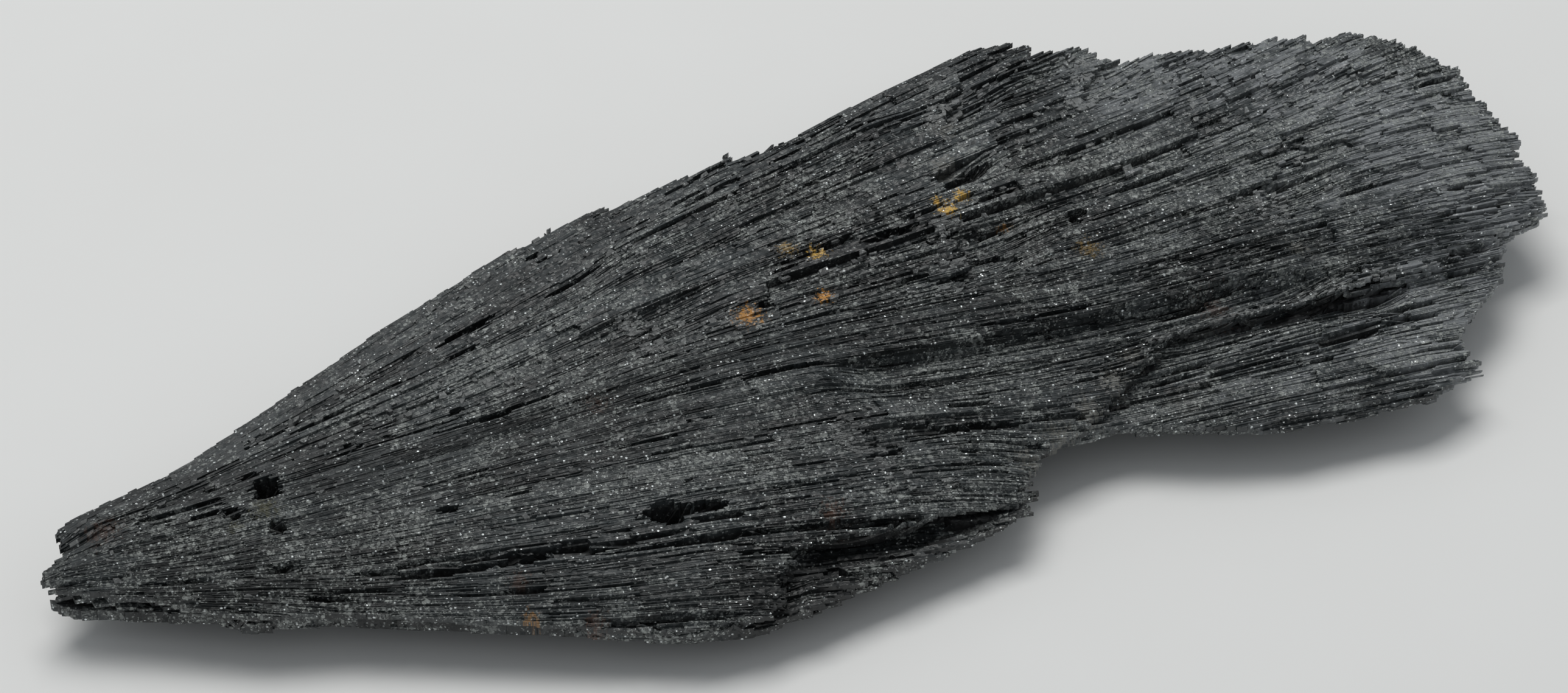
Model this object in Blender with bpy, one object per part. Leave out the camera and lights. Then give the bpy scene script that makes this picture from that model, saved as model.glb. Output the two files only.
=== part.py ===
"""A black kyanite fan: flat blades grown together that spread from a narrow root to a wide, broken edge.

Lengths here are in millimetres. X runs from the root to the wide edge, Y across the fan, Z up.
"""

import random

import bpy
import numpy as np

# How the blades run. Every blade points at one spot, a little way behind the root.
AIM_X = -68.0
AIM_Y = 3.3
SWEEP = 0.0008  # how fast the upper blades turn level again, right of SWEEP_FROM
SWEEP_FROM = -15.0
FLARE = 0.003  # how fast the last blades of the upper corner turn up, right of FLARE_FROM
FLARE_FROM = 25.0
BEND = 3.4  # how far the middle blades bend toward the near side, from the root to the middle
BEND_BACK = 2.8  # how far they bend back by the wide edge

# How thick the fan is.
RIM_HEIGHT = 5.5  # middle of the rim above the table, at x 0 and y 8
RIM_SLOPE_X = 0.01
RIM_SLOPE_Y = 0.058  # the far rim lies higher than the near one
RIM_HALF = 0.75  # half the thickness at the rim
ROOT_HALF = 1.5  # the same at the blunt root
CROWN = 3.4  # how far the top rises over the rim
KEEL = 6.0  # how far the underside sinks below it
TOP_BULGE = 8.0  # distance in from the rim over which the top gets most of its rise
UNDER_BULGE = 9.5  # the same for the underside, which is less steep
THINNEST = 0.9

GAP = 0.09  # share of a blade's width taken by the step to the next blade
LATH_STEP = 0.38  # most that one length of a blade stands above or below its neighbours
TOOTH = 0.45  # most that a blade's broken end differs from the outline

# The outer line of the whole fan, seen from above, clockwise from the root.
ROOT_END = [(-59.4, 0.8), (-60.3, 1.8), (-59.9, 3.0), (-57.6, 4.4), (-58.3, 5.8), (-57.9, 6.7)]
FAR_SIDE = [(-56.4, 7.5), (-48.1, 10.1), (-40.5, 13.7), (-30.1, 18.8), (-17.2, 24.2), (-8.4, 26.6),
            (-8.2, 25.8), (2.6, 28.6), (3.6, 28.0), (9.3, 29.0), (16.8, 31.3), (26.6, 33.7)]
WIDE_EDGE = [(31.2, 32.8), (30.9, 31.2), (35.4, 31.2), (36.4, 28.8), (43.4, 27.0), (53.0, 25.6),
             (53.8, 24.6), (55.8, 25.0), (59.8, 21.9), (62.8, 17.7), (62.7, 10.8), (63.2, 7.5),
             (61.8, 5.0), (62.5, 3.8), (60.9, -1.0), (57.6, -1.8)]
LOWER_LOBE = [(56.0, -3.2), (54.6, -5.7), (48.9, -10.0), (48.0, -12.5), (48.3, -14.3), (42.8, -15.9),
              (31.2, -15.0), (23.7, -12.1), (19.5, -10.4), (15.3, -10.4), (12.2, -11.2)]
NEAR_SIDE = [(10.3, -15.0), (6.4, -16.8), (-3.6, -18.4), (-13.0, -20.1), (-18.0, -19.0),
             (-28.0, -14.3), (-40.5, -8.3), (-47.2, -6.2), (-53.7, -2.2)]
OUTLINE = ROOT_END + FAR_SIDE + WIDE_EDGE + LOWER_LOBE + NEAR_SIDE

# The top sheet stops short of that line on the near side: at a crumbled edge that crosses the
# blades, and at the layer of shorter blades under it.
CRUMBLED_EDGE = [(47.2, -6.2), (33.7, -6.0), (25.7, -4.9), (23.8, -6.1), (20.6, -8.2), (16.4, -10.1),
                 (15.0, -10.8), (12.0, -11.0)]
SHORT_LAYER = [(8.2, -14.5), (2.0, -15.2), (-5.0, -15.6), (-10.3, -16.7), (-11.6, -18.7),
               (-12.8, -19.5)]
TOP_SHEET = ROOT_END + FAR_SIDE + WIDE_EDGE + CRUMBLED_EDGE + SHORT_LAYER + NEAR_SIDE[4:]
LOBE_SHEET = [(14.0, -9.8), (14.0, -1.5), (40.0, -1.5), (60.3, -1.3), (57.7, -1.9)] + LOWER_LOBE[:-1]
SHORT_SHEET = [(-24.0, -15.0), (-24.0, -10.0), (6.0, -9.0), (11.0, -11.5)] + NEAR_SIDE[:3] + [
    (-12.6, -19.4)]

# Steps in the top sheet that cross the blades: the end points, how far the right-hand side
# drops, and the length over which it rises again.
LEDGES = [
    ((18.9, 22.6), (23.5, 30.0), 1.1, 10.0),
    ((16.3, 15.0), (16.3, 17.9), 1.7, 9.0),
    ((12.9, 4.8), (14.7, 10.4), 1.5, 11.0),
    ((31.6, 22.6), (34.4, 27.3), 0.7, 7.0),
    ((-11.1, 7.0), (-11.9, 10.9), 0.5, 8.0),
    ((0.1, -9.5), (-1.0, -6.4), 0.5, 9.0),
    ((39.6, 3.9), (41.0, 8.3), 0.6, 8.0),
]

# Steps in the top sheet that follow the blades: the end points, how far the near side drops,
# and the width over which it rises again.
SHELVES = [
    ((4.5, 0.2), (36.7, -1.9), 1.6, 10.0),
    ((-8.9, 19.3), (13.4, 26.1), -0.8, 6.0),
]

# Grooves between the blades: the end points and the depth.
GROOVES = [
    ((-15.6, 1.0), (10.5, 0.6), 1.3),
    ((-37.3, 4.0), (-21.5, 4.6), 0.9),
    ((-53.1, 2.8), (-46.2, 1.9), 1.3),
    ((-40.8, -6.1), (-21.2, -11.7), 1.0),
    ((-21.2, -11.7), (1.1, -15.3), 1.5),
    ((1.5, -8.2), (17.3, -9.3), 0.8),
    ((28.6, 10.3), (38.3, 11.0), 0.9),
    ((0.2, 22.2), (8.3, 23.8), 0.8),
    ((-5.9, 19.8), (3.1, 21.6), 0.7),
    ((5.9, 14.0), (14.8, 15.4), 0.8),
    ((-26.7, 13.6), (-19.1, 14.8), 0.8),
    ((38.7, 1.9), (46.0, 2.0), 0.7),
    ((27.5, 2.8), (34.6, 2.1), 0.8),
    ((-24.0, 21.4), (-9.2, 25.4), 1.0),
    ((29.6, -9.1), (45.6, -11.2), 0.6),
]

# Pits: the middle, the length along the blades and the depth.
PITS = [
    ((-43.4, 3.1), 2.2, 2.8),
    ((-43.6, -0.1), 1.2, 1.8),
    ((-44.9, -3.5), 3.4, 1.2),
    ((-44.6, 5.4), 2.4, 1.0),
    ((-15.4, -9.6), 4.6, 2.8),
    ((-3.1, 7.9), 1.8, 1.2),
    ((12.1, 5.6), 2.4, 1.8),
    ((19.3, 17.1), 6.0, 1.2),
]


def ramp(value, start, end):
    """0 before start, 1 after end, and a smooth rise between them."""
    part = np.clip((value - start) / (end - start), 0.0, 1.0)
    return part * part * (3.0 - 2.0 * part)


def blade_y(slope, x):
    """Where the blade with this slope at the root lies across the fan, at x."""
    y = AIM_Y + slope * (x - AIM_X)
    y = y - SWEEP * ramp(slope, -0.05, 0.05) * np.maximum(0.0, x - SWEEP_FROM) ** 2
    y = y + FLARE * ramp(slope, 0.13, 0.20) * np.maximum(0.0, x - FLARE_FROM) ** 2
    bend = 0.6 + BEND * ramp(x, -64.0, -25.0) - BEND_BACK * ramp(x, 20.0, 66.0)
    return y - bend * (1.0 - np.where(slope > 0.05, 7.0, 2.6) * (slope - 0.05) ** 2)


def slope_at(x, y):
    """The slope of the blade that passes through this point."""
    slopes = np.linspace(-0.7, 0.7, 701)
    return float(np.interp(y, blade_y(slopes, x), slopes))


def inside(points, outline):
    """True for each point that lies within the outline."""
    found = np.zeros(len(points), bool)
    for (x0, y0), (x1, y1) in zip(outline, outline[1:] + outline[:1]):
        if y0 == y1:
            continue
        crosses = (points[:, 1] > y0) != (points[:, 1] > y1)
        found ^= crosses & (points[:, 0] < x0 + (points[:, 1] - y0) * (x1 - x0) / (y1 - y0))
    return found


def rim_distance(x, y):
    """How far in from the fan's outer line this point lies."""
    nearest = 1000.0
    for (x0, y0), (x1, y1) in zip(OUTLINE, OUTLINE[1:] + OUTLINE[:1]):
        along = ((x - x0) * (x1 - x0) + (y - y0) * (y1 - y0)) / ((x1 - x0) ** 2 + (y1 - y0) ** 2)
        along = min(1.0, max(0.0, along))
        nearest = min(nearest, np.hypot(x - x0 - along * (x1 - x0), y - y0 - along * (y1 - y0)))
    return nearest


def fullness(x, y, bulge):
    """0 at the rim and near 1 in the middle of the fan, less toward the wide edge."""
    share = 1.0 - np.exp(-rim_distance(x, y) / bulge)
    return share * (1.0 - 0.5 * ramp(x, 18.0, 60.0))


def rim_height(x, y):
    return RIM_HEIGHT + RIM_SLOPE_Y * (y - 8.0) + RIM_SLOPE_X * x


def rim_half(x):
    return RIM_HALF + (ROOT_HALF - RIM_HALF) * ramp(-x, 46.0, 60.0)


def ledge_drop(x, y, slope):
    """How far the ledges lower the top of this blade here."""
    drop = 0.0
    for (x0, y0), (x1, y1), depth, length in LEDGES:
        first, last = slope_at(x0, y0), slope_at(x1, y1)
        if min(first, last) <= slope <= max(first, last):
            behind = x - x0 - (x1 - x0) * (slope - first) / (last - first)
            if behind > 0.0:
                drop += depth * (1.0 - ramp(behind, 0.3 * length, length))
    return drop


def shelf_drop(x, y):
    """How far the shelves lower the top here."""
    drop = 0.0
    for (x0, y0), (x1, y1), depth, width in SHELVES:
        below = y0 + (y1 - y0) * (x - x0) / (x1 - x0) - y
        if below > 0.0 and x0 - 6.0 < x < x1 + 6.0:
            ends = ramp(x, x0 - 6.0, x0) * (1.0 - ramp(x, x1, x1 + 6.0))
            drop += depth * ends * (1.0 - ramp(below, 0.0, width))
    return drop


def lath_breaks(start, end, chance):
    """Places where one length of a blade stops and the next begins."""
    spots = []
    x = start + chance.uniform(3.0, 14.0)
    while x < end - 3.0:
        spots.append(x)
        x += chance.uniform(9.0, 26.0)
    return spots


class Blade:
    """One blade: its place in the fan, and the lengths that its top and underside are broken into."""

    def __init__(self, low, high, start, end, chance):
        self.low = low
        self.high = high
        self.slope = (low + high) / 2
        self.start = start
        self.end = end
        self.top_breaks = lath_breaks(start, end, chance)
        self.under_breaks = lath_breaks(start, end, chance)[:3]
        self.top_levels = [chance.uniform(-1.0, 1.0) for _ in range(20)]
        self.under_levels = [chance.uniform(-1.0, 1.0) for _ in range(20)]
        self.lean = chance.uniform(-0.16, 0.16)
        self.cuts = []

    def add_cut(self, start, end, depth):
        """Lowers the top of this blade between two places along it."""
        start, end = max(start, self.start + 0.5), min(end, self.end - 0.5)
        if end - start > 0.6:
            self.cuts.append((start, end, depth))

    def breaks(self):
        """Every place where the blade needs a step, in order and at least 0.5 apart."""
        wanted = [spot for cut in self.cuts for spot in cut[:2]]
        for (x0, y0), (x1, y1), _, _ in LEDGES:
            first, last = slope_at(x0, y0), slope_at(x1, y1)
            if min(first, last) <= self.slope <= max(first, last):
                wanted.append(x0 + (x1 - x0) * (self.slope - first) / (last - first))
        wanted += self.top_breaks + self.under_breaks
        kept = []
        for spot in wanted:
            if all(abs(spot - other) > 0.6 for other in kept):
                if self.start + 0.4 < spot < self.end - 0.4:
                    kept.append(spot)
        return kept

    def level(self, x, spots, levels):
        """Height of the length of blade at x over the even surface, as a share of LATH_STEP."""
        return levels[sum(x > spot for spot in spots)]

    def stations(self, count):
        """Positions along the blade: two close together at each step, and others between them."""
        places = [self.start, self.end]
        for spot in self.breaks()[: (count - 4) // 2]:
            places += [spot - 0.07, spot + 0.07]
        places.sort()
        while len(places) < count:
            gaps = [after - before for before, after in zip(places, places[1:])]
            widest = gaps.index(max(gaps))
            places.insert(widest + 1, (places[widest] + places[widest + 1]) / 2)
        return places


def surfaces(blade, x, y, sheet):
    """Heights of the top and the underside of a blade at one point."""
    middle = rim_height(x, y)
    half = rim_half(x)
    relief = LATH_STEP * (0.35 + 0.65 * ramp(x, -60.0, -20.0))
    top = middle + half + sheet["crown"] * CROWN * fullness(x, y, TOP_BULGE) - sheet["lower"]
    if sheet["ledges"]:
        top -= ledge_drop(x, y, blade.slope) + shelf_drop(x, y)
    top += relief * blade.level(x, blade.top_breaks, blade.top_levels)
    top -= sum(depth for start, end, depth in blade.cuts if start < x < end)
    under = middle - half - sheet["keel"] * KEEL * fullness(x, y, UNDER_BULGE)
    under += 1.3 * relief * blade.level(x, blade.under_breaks, blade.under_levels)
    under = max(0.0, under)
    return max(top, under + THINNEST), under


def blades_of(outline, widths, chance):
    """Blades side by side across an outline, each from where it enters the outline to where it leaves."""
    blades = []
    low = widths[0]
    xs = np.arange(-62.0, 66.0, 0.05)
    for high in widths[1:]:
        slope = (low + high) / 2
        line = np.column_stack([xs, blade_y(np.full(len(xs), slope), xs)])
        within = xs[inside(line, outline)]
        if len(within) > 60:
            start = within[0] + chance.uniform(0.0, TOOTH)
            end = within[-1] - chance.uniform(0.0, 2.0 * TOOTH)
            blades.append(Blade(low, high, float(start), float(end), chance))
        low = high
    return blades


def cut_grooves(blades):
    """Lowers the blades that lie under the grooves and the pits."""
    for (x0, y0), (x1, y1), depth in GROOVES:
        slope = slope_at((x0 + x1) / 2, (y0 + y1) / 2)
        nearest = min(blades, key=lambda blade: abs(blade.slope - slope))
        nearest.add_cut(x0, x1, depth)
    for (x, y), length, depth in PITS:
        slope = slope_at(x, y)
        nearest = min(blades, key=lambda blade: abs(blade.slope - slope))
        nearest.add_cut(x - length / 2, x + length / 2, depth)


def sheet_object(name, blades, count, sheet):
    """A closed body made of blades side by side, with the same number of stations on each."""
    rows = []
    for blade in blades:
        inset = GAP * (blade.high - blade.low) / 2
        places = blade.stations(count)
        for slope, lean in ((blade.low + inset, -blade.lean), (blade.high - inset, blade.lean)):
            row = []
            for x in places:
                y = float(blade_y(slope, x))
                top, under = surfaces(blade, x, y, sheet)
                row.append((x, y, top + lean, under))
            rows.append(row)
    last_row, last = len(rows) - 1, count - 1
    points = [(x, y, top) for row in rows for x, y, top, under in row]
    points += [(x, y, under) for row in rows for x, y, top, under in row]
    shift = len(rows) * count

    def top_at(row, place):
        return row * count + place

    faces = []
    for row in range(last_row):
        for place in range(last):
            a, b = top_at(row, place), top_at(row, place + 1)
            c, d = top_at(row + 1, place + 1), top_at(row + 1, place)
            faces += [(a, b, c), (a, c, d)]
            faces += [(a + shift, c + shift, b + shift), (a + shift, d + shift, c + shift)]
    for row in range(last_row):
        for place, turn in ((0, False), (last, True)):
            a, b = top_at(row, place), top_at(row + 1, place)
            side = (a, b, b + shift, a + shift)
            faces.append(side[::-1] if turn else side)
    for place in range(last):
        for row, turn in ((0, True), (last_row, False)):
            a, b = top_at(row, place), top_at(row, place + 1)
            side = (a, b, b + shift, a + shift)
            faces.append(side[::-1] if turn else side)
    mesh = bpy.data.meshes.new(name)
    mesh.from_pydata(points, [], faces)
    mesh.update()
    body = bpy.data.objects.new(name, mesh)
    bpy.context.scene.collection.objects.link(body)
    return body


def spread(start, end, width):
    """Blade borders from start to end, about this far apart."""
    count = max(1, round((end - start) / width))
    return [start + (end - start) * step / count for step in range(count)]


def main():
    for old in list(bpy.data.objects):
        bpy.data.objects.remove(old)
    chance = random.Random(9)

    borders = (spread(-0.425, -0.20, 0.0225) + spread(-0.20, 0.20, 0.0155)
               + spread(0.20, 0.352, 0.019) + [0.352, 0.372, 0.388, 0.402])
    top_blades = blades_of(TOP_SHEET, borders + [0.416], chance)
    cut_grooves(top_blades)
    whole = sheet_object("kyanite_fan", top_blades, 18,
                         {"crown": 1.0, "keel": 1.0, "lower": 0.0, "ledges": True})

    lobe_blades = blades_of(LOBE_SHEET, spread(-0.1545, -0.0172, 0.0165) + [-0.0172], chance)
    lobe = sheet_object("lobe_sheet", lobe_blades, 10,
                        {"crown": 0.45, "keel": 0.8, "lower": 0.6, "ledges": False})

    short_blades = blades_of(SHORT_SHEET, spread(-0.40, -0.165, 0.0225) + [-0.165], chance)
    short = sheet_object("short_sheet", short_blades, 8,
                         {"crown": 0.5, "keel": 0.7, "lower": 0.2, "ledges": False})

    for part in (lobe, short):
        part.hide_render = True
        join = whole.modifiers.new(part.name, "BOOLEAN")
        join.operation = "UNION"
        join.solver = "EXACT"
        join.object = part
    bpy.context.view_layer.update()
    graph = bpy.context.evaluated_depsgraph_get()
    joined = bpy.data.meshes.new_from_object(whole.evaluated_get(graph))
    whole.modifiers.clear()
    whole.data = joined
    for part in (lobe, short):
        bpy.data.objects.remove(part)

    # The middle of the box round the fan goes over the origin, and the lowest faces onto z 0.
    points = np.array([vertex.co for vertex in joined.vertices])
    low, high = points.min(axis=0), points.max(axis=0)
    middle = np.array([(low[0] + high[0]) / 2, (low[1] + high[1]) / 2, low[2]])
    for vertex, point in zip(joined.vertices, (points - middle) / 1000.0):
        vertex.co = point
    joined.update()
    print("size mm", np.round(high - low, 2), "moved by", np.round(-middle, 3),
          "triangles", sum(len(face.vertices) - 2 for face in joined.polygons))


main()
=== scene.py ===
# %% [markdown]
# # A black kyanite fan
# The real fan is thousands of thin, flat blades that grew side by side out of one narrow root.
# From above it looks like splintered wood turned to dark stone: fine fibres, long dark slots,
# broken ends and pale, scaly bruises. This lesson builds it blade by blade, in the same frame
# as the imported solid, and then gives it its half-metallic, dusty surface.

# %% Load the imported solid
import math
import random

import bpy
import numpy as np
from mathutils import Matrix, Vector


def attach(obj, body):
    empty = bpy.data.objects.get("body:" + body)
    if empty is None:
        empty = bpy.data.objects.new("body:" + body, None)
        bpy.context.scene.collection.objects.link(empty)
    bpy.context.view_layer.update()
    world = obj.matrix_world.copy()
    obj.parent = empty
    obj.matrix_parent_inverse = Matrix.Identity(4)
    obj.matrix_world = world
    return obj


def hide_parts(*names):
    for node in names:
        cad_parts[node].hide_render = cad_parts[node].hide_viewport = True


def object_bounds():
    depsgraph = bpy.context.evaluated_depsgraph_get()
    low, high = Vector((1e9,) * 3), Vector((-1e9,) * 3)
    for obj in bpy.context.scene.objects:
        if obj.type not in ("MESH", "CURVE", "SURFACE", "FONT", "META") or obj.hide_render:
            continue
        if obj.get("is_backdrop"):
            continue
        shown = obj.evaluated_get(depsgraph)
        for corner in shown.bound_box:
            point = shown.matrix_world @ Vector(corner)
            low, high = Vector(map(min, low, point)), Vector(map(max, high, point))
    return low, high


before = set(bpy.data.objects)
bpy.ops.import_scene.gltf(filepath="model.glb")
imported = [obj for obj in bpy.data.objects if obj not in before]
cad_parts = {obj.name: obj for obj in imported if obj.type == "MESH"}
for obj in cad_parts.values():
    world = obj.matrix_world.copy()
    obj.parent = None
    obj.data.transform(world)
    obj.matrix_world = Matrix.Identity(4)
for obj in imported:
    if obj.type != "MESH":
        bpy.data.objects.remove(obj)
CAD_BOX = [list(corner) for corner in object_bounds()]
MM = 0.001
print("packed solid, in mm:", [[round(value / MM, 1) for value in corner] for corner in CAD_BOX])

# %% [markdown]
# ## Where the camera stands
# The fan was photographed from above its near side, from about 40 degrees up, through a long
# lens. The camera comes first, because every later choice is judged through it. A long lens far
# away keeps the far rim almost as large as the near one, as it is in the picture.

# %% Camera
CAMERA_AT = (-0.09588, -0.23246, 0.21577)
LOOKS_AT = (0.00045, 0.00597, 0.0)
LENS_MM, SENSOR_MM = 97.8, 36.0


def aimed(at, aim):
    """The rotation that turns a camera or a lamp at one point toward another."""
    away = [there - here for here, there in zip(at, aim)]
    level = math.hypot(away[0], away[1])
    return math.atan2(level, -away[2]), 0.0, math.atan2(-away[0], away[1])


scene = bpy.context.scene
camera_data = bpy.data.cameras.new("camera")
camera_data.lens = LENS_MM
camera_data.sensor_width = SENSOR_MM
camera_data.clip_start = 0.01
camera = bpy.data.objects.new("camera", camera_data)
scene.collection.objects.link(camera)
camera.location = CAMERA_AT
camera.rotation_euler = aimed(CAMERA_AT, LOOKS_AT)
scene.camera = camera
print("camera looks down at", round(90.0 - math.degrees(camera.rotation_euler[0]), 1), "degrees")

# %% [markdown]
# ## How the blades run
# Every blade points back at one spot a little behind the root. A blade is named by its slope at
# that spot. On the far half the blades sweep level again, and in the far corner they flare up.
# With one formula for this, each fibre, crack and stripe of the finish can follow the growth.

# %% Blade lines
AIM_X, AIM_Y = -68.0, 3.3
BOX_MIDDLE = (1.331, 7.157)  # from the measured outline to the frame of the solid, in mm


def ramp(value, start, end):
    """0 before start, 1 after end, and a smooth rise between them."""
    part = np.clip((value - start) / (end - start), 0.0, 1.0)
    return part * part * (3.0 - 2.0 * part)


def blade_y(slope, x):
    """Where the blade with this slope lies across the fan, at x."""
    y = AIM_Y + slope * (x - AIM_X)
    # The far half sweeps level again, and in the far corner the blades flare up.
    y = y - 0.0008 * ramp(slope, -0.05, 0.05) * np.maximum(0.0, x + 15.0) ** 2
    y = y + 0.003 * ramp(slope, 0.13, 0.20) * np.maximum(0.0, x - 25.0) ** 2
    # The blades of the near half swing 2 mm toward the middle.
    y = y + 2.0 * ramp(x, -52.0, -24.0) * ramp(slope, -0.30, -0.12) * (1.0 - ramp(slope, -0.05, 0.15))
    y = y + 2.2 * ramp(x, -24.0, 8.0) * (1.0 - ramp(slope, -0.24, -0.12))
    # The blades round the middle one sag toward the near side.
    y = y - 1.2 * ramp(x, -42.0, -16.0) * ramp(slope, 0.02, 0.12) * (1.0 - ramp(slope, 0.16, 0.30))
    y = y - 2.6 * ramp(x, -14.0, 30.0) * ramp(slope, -0.10, 0.0) * (1.0 - ramp(slope, 0.17, 0.27))
    # The photograph shows the high crown farther away than it is, so the crown is moved nearer.
    bend = 0.6 + 3.4 * ramp(x, -64.0, -25.0) - 2.8 * ramp(x, 20.0, 66.0)
    return y - bend * (1.0 - np.where(slope > 0.05, 7.0, 2.6) * (slope - 0.05) ** 2)


SLOPES = np.linspace(-0.7, 0.7, 1401)


def slope_at(x, y):
    """The slope of the blade that passes through this point."""
    return float(np.interp(y, blade_y(SLOPES, x), SLOPES))


print("the middle blade leaves the fan at y =", round(float(blade_y(0.1, 62.0)), 1))

# %% [markdown]
# ## The outline and its sheets
# The fan is not one plate. A top sheet covers most of it. On the near side it has crumbled away
# and shows a lower sheet, the lobe at the wide end, and a layer of shorter blades near the
# root. Each sheet gets an outline of its own, seen from above, in millimetres.

# %% Outlines
ROOT_END = [(-59.4, 0.8), (-60.3, 1.8), (-59.9, 3.0), (-57.6, 4.4), (-58.3, 5.8), (-57.9, 6.7)]
FAR_SIDE = [(-56.4, 7.5), (-48.1, 10.1), (-40.5, 13.7), (-30.1, 18.8), (-17.2, 24.2), (-8.4, 26.6),
            (-8.2, 25.8), (2.6, 28.6), (3.6, 28.0), (9.3, 29.0), (16.8, 31.3), (26.6, 33.7)]
WIDE_EDGE = [(31.2, 32.8), (30.9, 31.2), (35.4, 31.2), (36.4, 28.8), (43.4, 27.0), (53.0, 25.6),
             (53.8, 24.6), (55.8, 25.0), (59.8, 21.9), (62.8, 17.7), (62.7, 10.8), (63.2, 7.5),
             (61.8, 5.0), (62.5, 3.8), (60.9, -1.0), (57.6, -1.8)]
LOWER_LOBE = [(56.0, -3.2), (54.6, -5.7), (48.9, -10.0), (48.0, -12.5), (48.3, -14.3), (42.8, -15.9),
              (31.2, -15.0), (23.7, -12.1), (19.5, -10.4), (15.3, -10.4), (12.2, -11.2)]
NEAR_SIDE = [(10.3, -15.0), (6.4, -16.8), (-3.6, -18.4), (-13.0, -20.1), (-18.0, -19.0),
             (-28.0, -14.3), (-40.5, -8.3), (-47.2, -6.2), (-53.7, -2.2)]
OUTLINE = ROOT_END + FAR_SIDE + WIDE_EDGE + LOWER_LOBE + NEAR_SIDE
CRUMBLED_EDGE = [(52.0, -3.6), (48.6, -4.6), (44.5, -4.9), (40.7, -4.8), (37.6, -4.3), (33.6, -4.6),
                 (30.5, -4.5), (26.6, -4.2), (24.6, -6.0), (22.0, -7.2), (19.9, -8.4), (17.6, -9.8),
                 (14.8, -10.8), (12.1, -11.2)]
SHORT_LAYER = [(9.5, -15.4), (5.3, -15.5), (1.8, -15.3), (-4.3, -15.1), (-8.9, -14.9), (-10.2, -16.4),
               (-11.6, -18.7), (-12.8, -19.5)]
TOP_SHEET = ROOT_END + FAR_SIDE + WIDE_EDGE + CRUMBLED_EDGE + SHORT_LAYER + NEAR_SIDE[4:]
LOBE_SHEET = [(14.0, -9.8), (14.0, -1.5), (40.0, -1.5), (60.3, -1.3), (57.7, -1.9)] + LOWER_LOBE[:-1]
SHORT_SHEET = [(-24.0, -15.0), (-24.0, -10.0), (6.0, -9.0), (11.0, -11.5)] + NEAR_SIDE[:3] + [
    (-12.6, -19.6)]
print("the outline of the fan has", len(OUTLINE), "points")

# %% [markdown]
# Asking "is this point inside?" a million times is slow, so each outline is drawn once on a
# fine grid of cells. Looking a point up is then a single step.

# %% Grids over the fan
CELL = 0.12
GRID_X = np.arange(-66.0, 68.0, CELL)
GRID_Y = np.arange(-24.0, 38.0, CELL)
CELL_X, CELL_Y = np.meshgrid(GRID_X, GRID_Y)


def sides(outline):
    """The line segments of a closed outline."""
    return list(zip(outline, outline[1:] + outline[:1]))


def inside_grid(outline):
    """True for each cell within the outline."""
    found = np.zeros(CELL_X.shape, bool)
    for (x0, y0), (x1, y1) in sides(outline):
        if y0 != y1:
            crosses = (CELL_Y > y0) != (CELL_Y > y1)
            found ^= crosses & (CELL_X < x0 + (CELL_Y - y0) * (x1 - x0) / (y1 - y0))
    return found


WITHIN = inside_grid(OUTLINE)
print("seen from above, the fan covers", round(float(WITHIN.sum()) * CELL**2 / 100.0, 1), "square cm")


# %% Distances on the grid
def distance_grid(lines):
    """How far each cell is from the nearest of these line segments."""
    nearest = np.full(CELL_X.shape, 1000.0)
    for (x0, y0), (x1, y1) in lines:
        length = (x1 - x0) ** 2 + (y1 - y0) ** 2
        along = np.clip(((CELL_X - x0) * (x1 - x0) + (CELL_Y - y0) * (y1 - y0)) / length, 0.0, 1.0)
        away_x = CELL_X - x0 - along * (x1 - x0)
        away_y = CELL_Y - y0 - along * (y1 - y0)
        nearest = np.minimum(nearest, np.hypot(away_x, away_y))
    return nearest


def look_up(grid, x, y):
    """The value of a grid at each place."""
    column = np.clip(np.rint((x - GRID_X[0]) / CELL).astype(int), 0, len(GRID_X) - 1)
    row = np.clip(np.rint((y - GRID_Y[0]) / CELL).astype(int), 0, len(GRID_Y) - 1)
    return grid[row, column]


RIM_DISTANCE = distance_grid(sides(OUTLINE)) * WITHIN
OVERHANG = [line for part in (CRUMBLED_EDGE[2:8], SHORT_LAYER) for line in zip(part, part[1:])]
UNDERCUT = distance_grid(OVERHANG)  # how far a place is from the edges that lie over a lower sheet
print("deepest point of the fan is", round(float(RIM_DISTANCE.max()), 1), "mm in from its rim")

# %% [markdown]
# ## Swells along the blades
# Between the large steps the surface swells and sinks in long, soft ridges. A table of random
# numbers, blended smoothly between its entries, gives such swells without any repeat.


# %% Smooth random field
TABLE_SIZE = 128
TABLE_START = (64.37, 64.71)  # where u = 0 and v = 0 fall in a table
TABLES = [np.random.default_rng(seed).uniform(-1.0, 1.0, (TABLE_SIZE, TABLE_SIZE)) for seed in range(50)]


def swell(u, v, table_number):
    """A smooth random value from -1 to 1 for each place, one cell wide in u and v."""
    table = TABLES[table_number]
    u, v = np.asarray(u) + TABLE_START[0], np.asarray(v) + TABLE_START[1]
    whole_u, whole_v = np.floor(u).astype(int), np.floor(v).astype(int)
    part_u, part_v = u - whole_u, v - whole_v
    part_u, part_v = part_u**2 * (3.0 - 2.0 * part_u), part_v**2 * (3.0 - 2.0 * part_v)
    corner = [[table[(whole_u + i) % TABLE_SIZE, (whole_v + j) % TABLE_SIZE] for j in (0, 1)]
              for i in (0, 1)]
    low = corner[0][0] * (1.0 - part_v) + corner[0][1] * part_v
    high = corner[1][0] * (1.0 - part_v) + corner[1][1] * part_v
    return low * (1.0 - part_u) + high * part_u


print("the swell at the aiming point is", round(float(swell(0.0, 0.0, 3)), 2))

# %% [markdown]
# ## Heights
# The fan is a flat lens: a thin rim, a crown on top and a keel below that rests on the table.
# The far rim lies higher than the near one. Ledges cross the blades, shelves follow them, and
# grooves and pits are places where single blades are missing.

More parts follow.
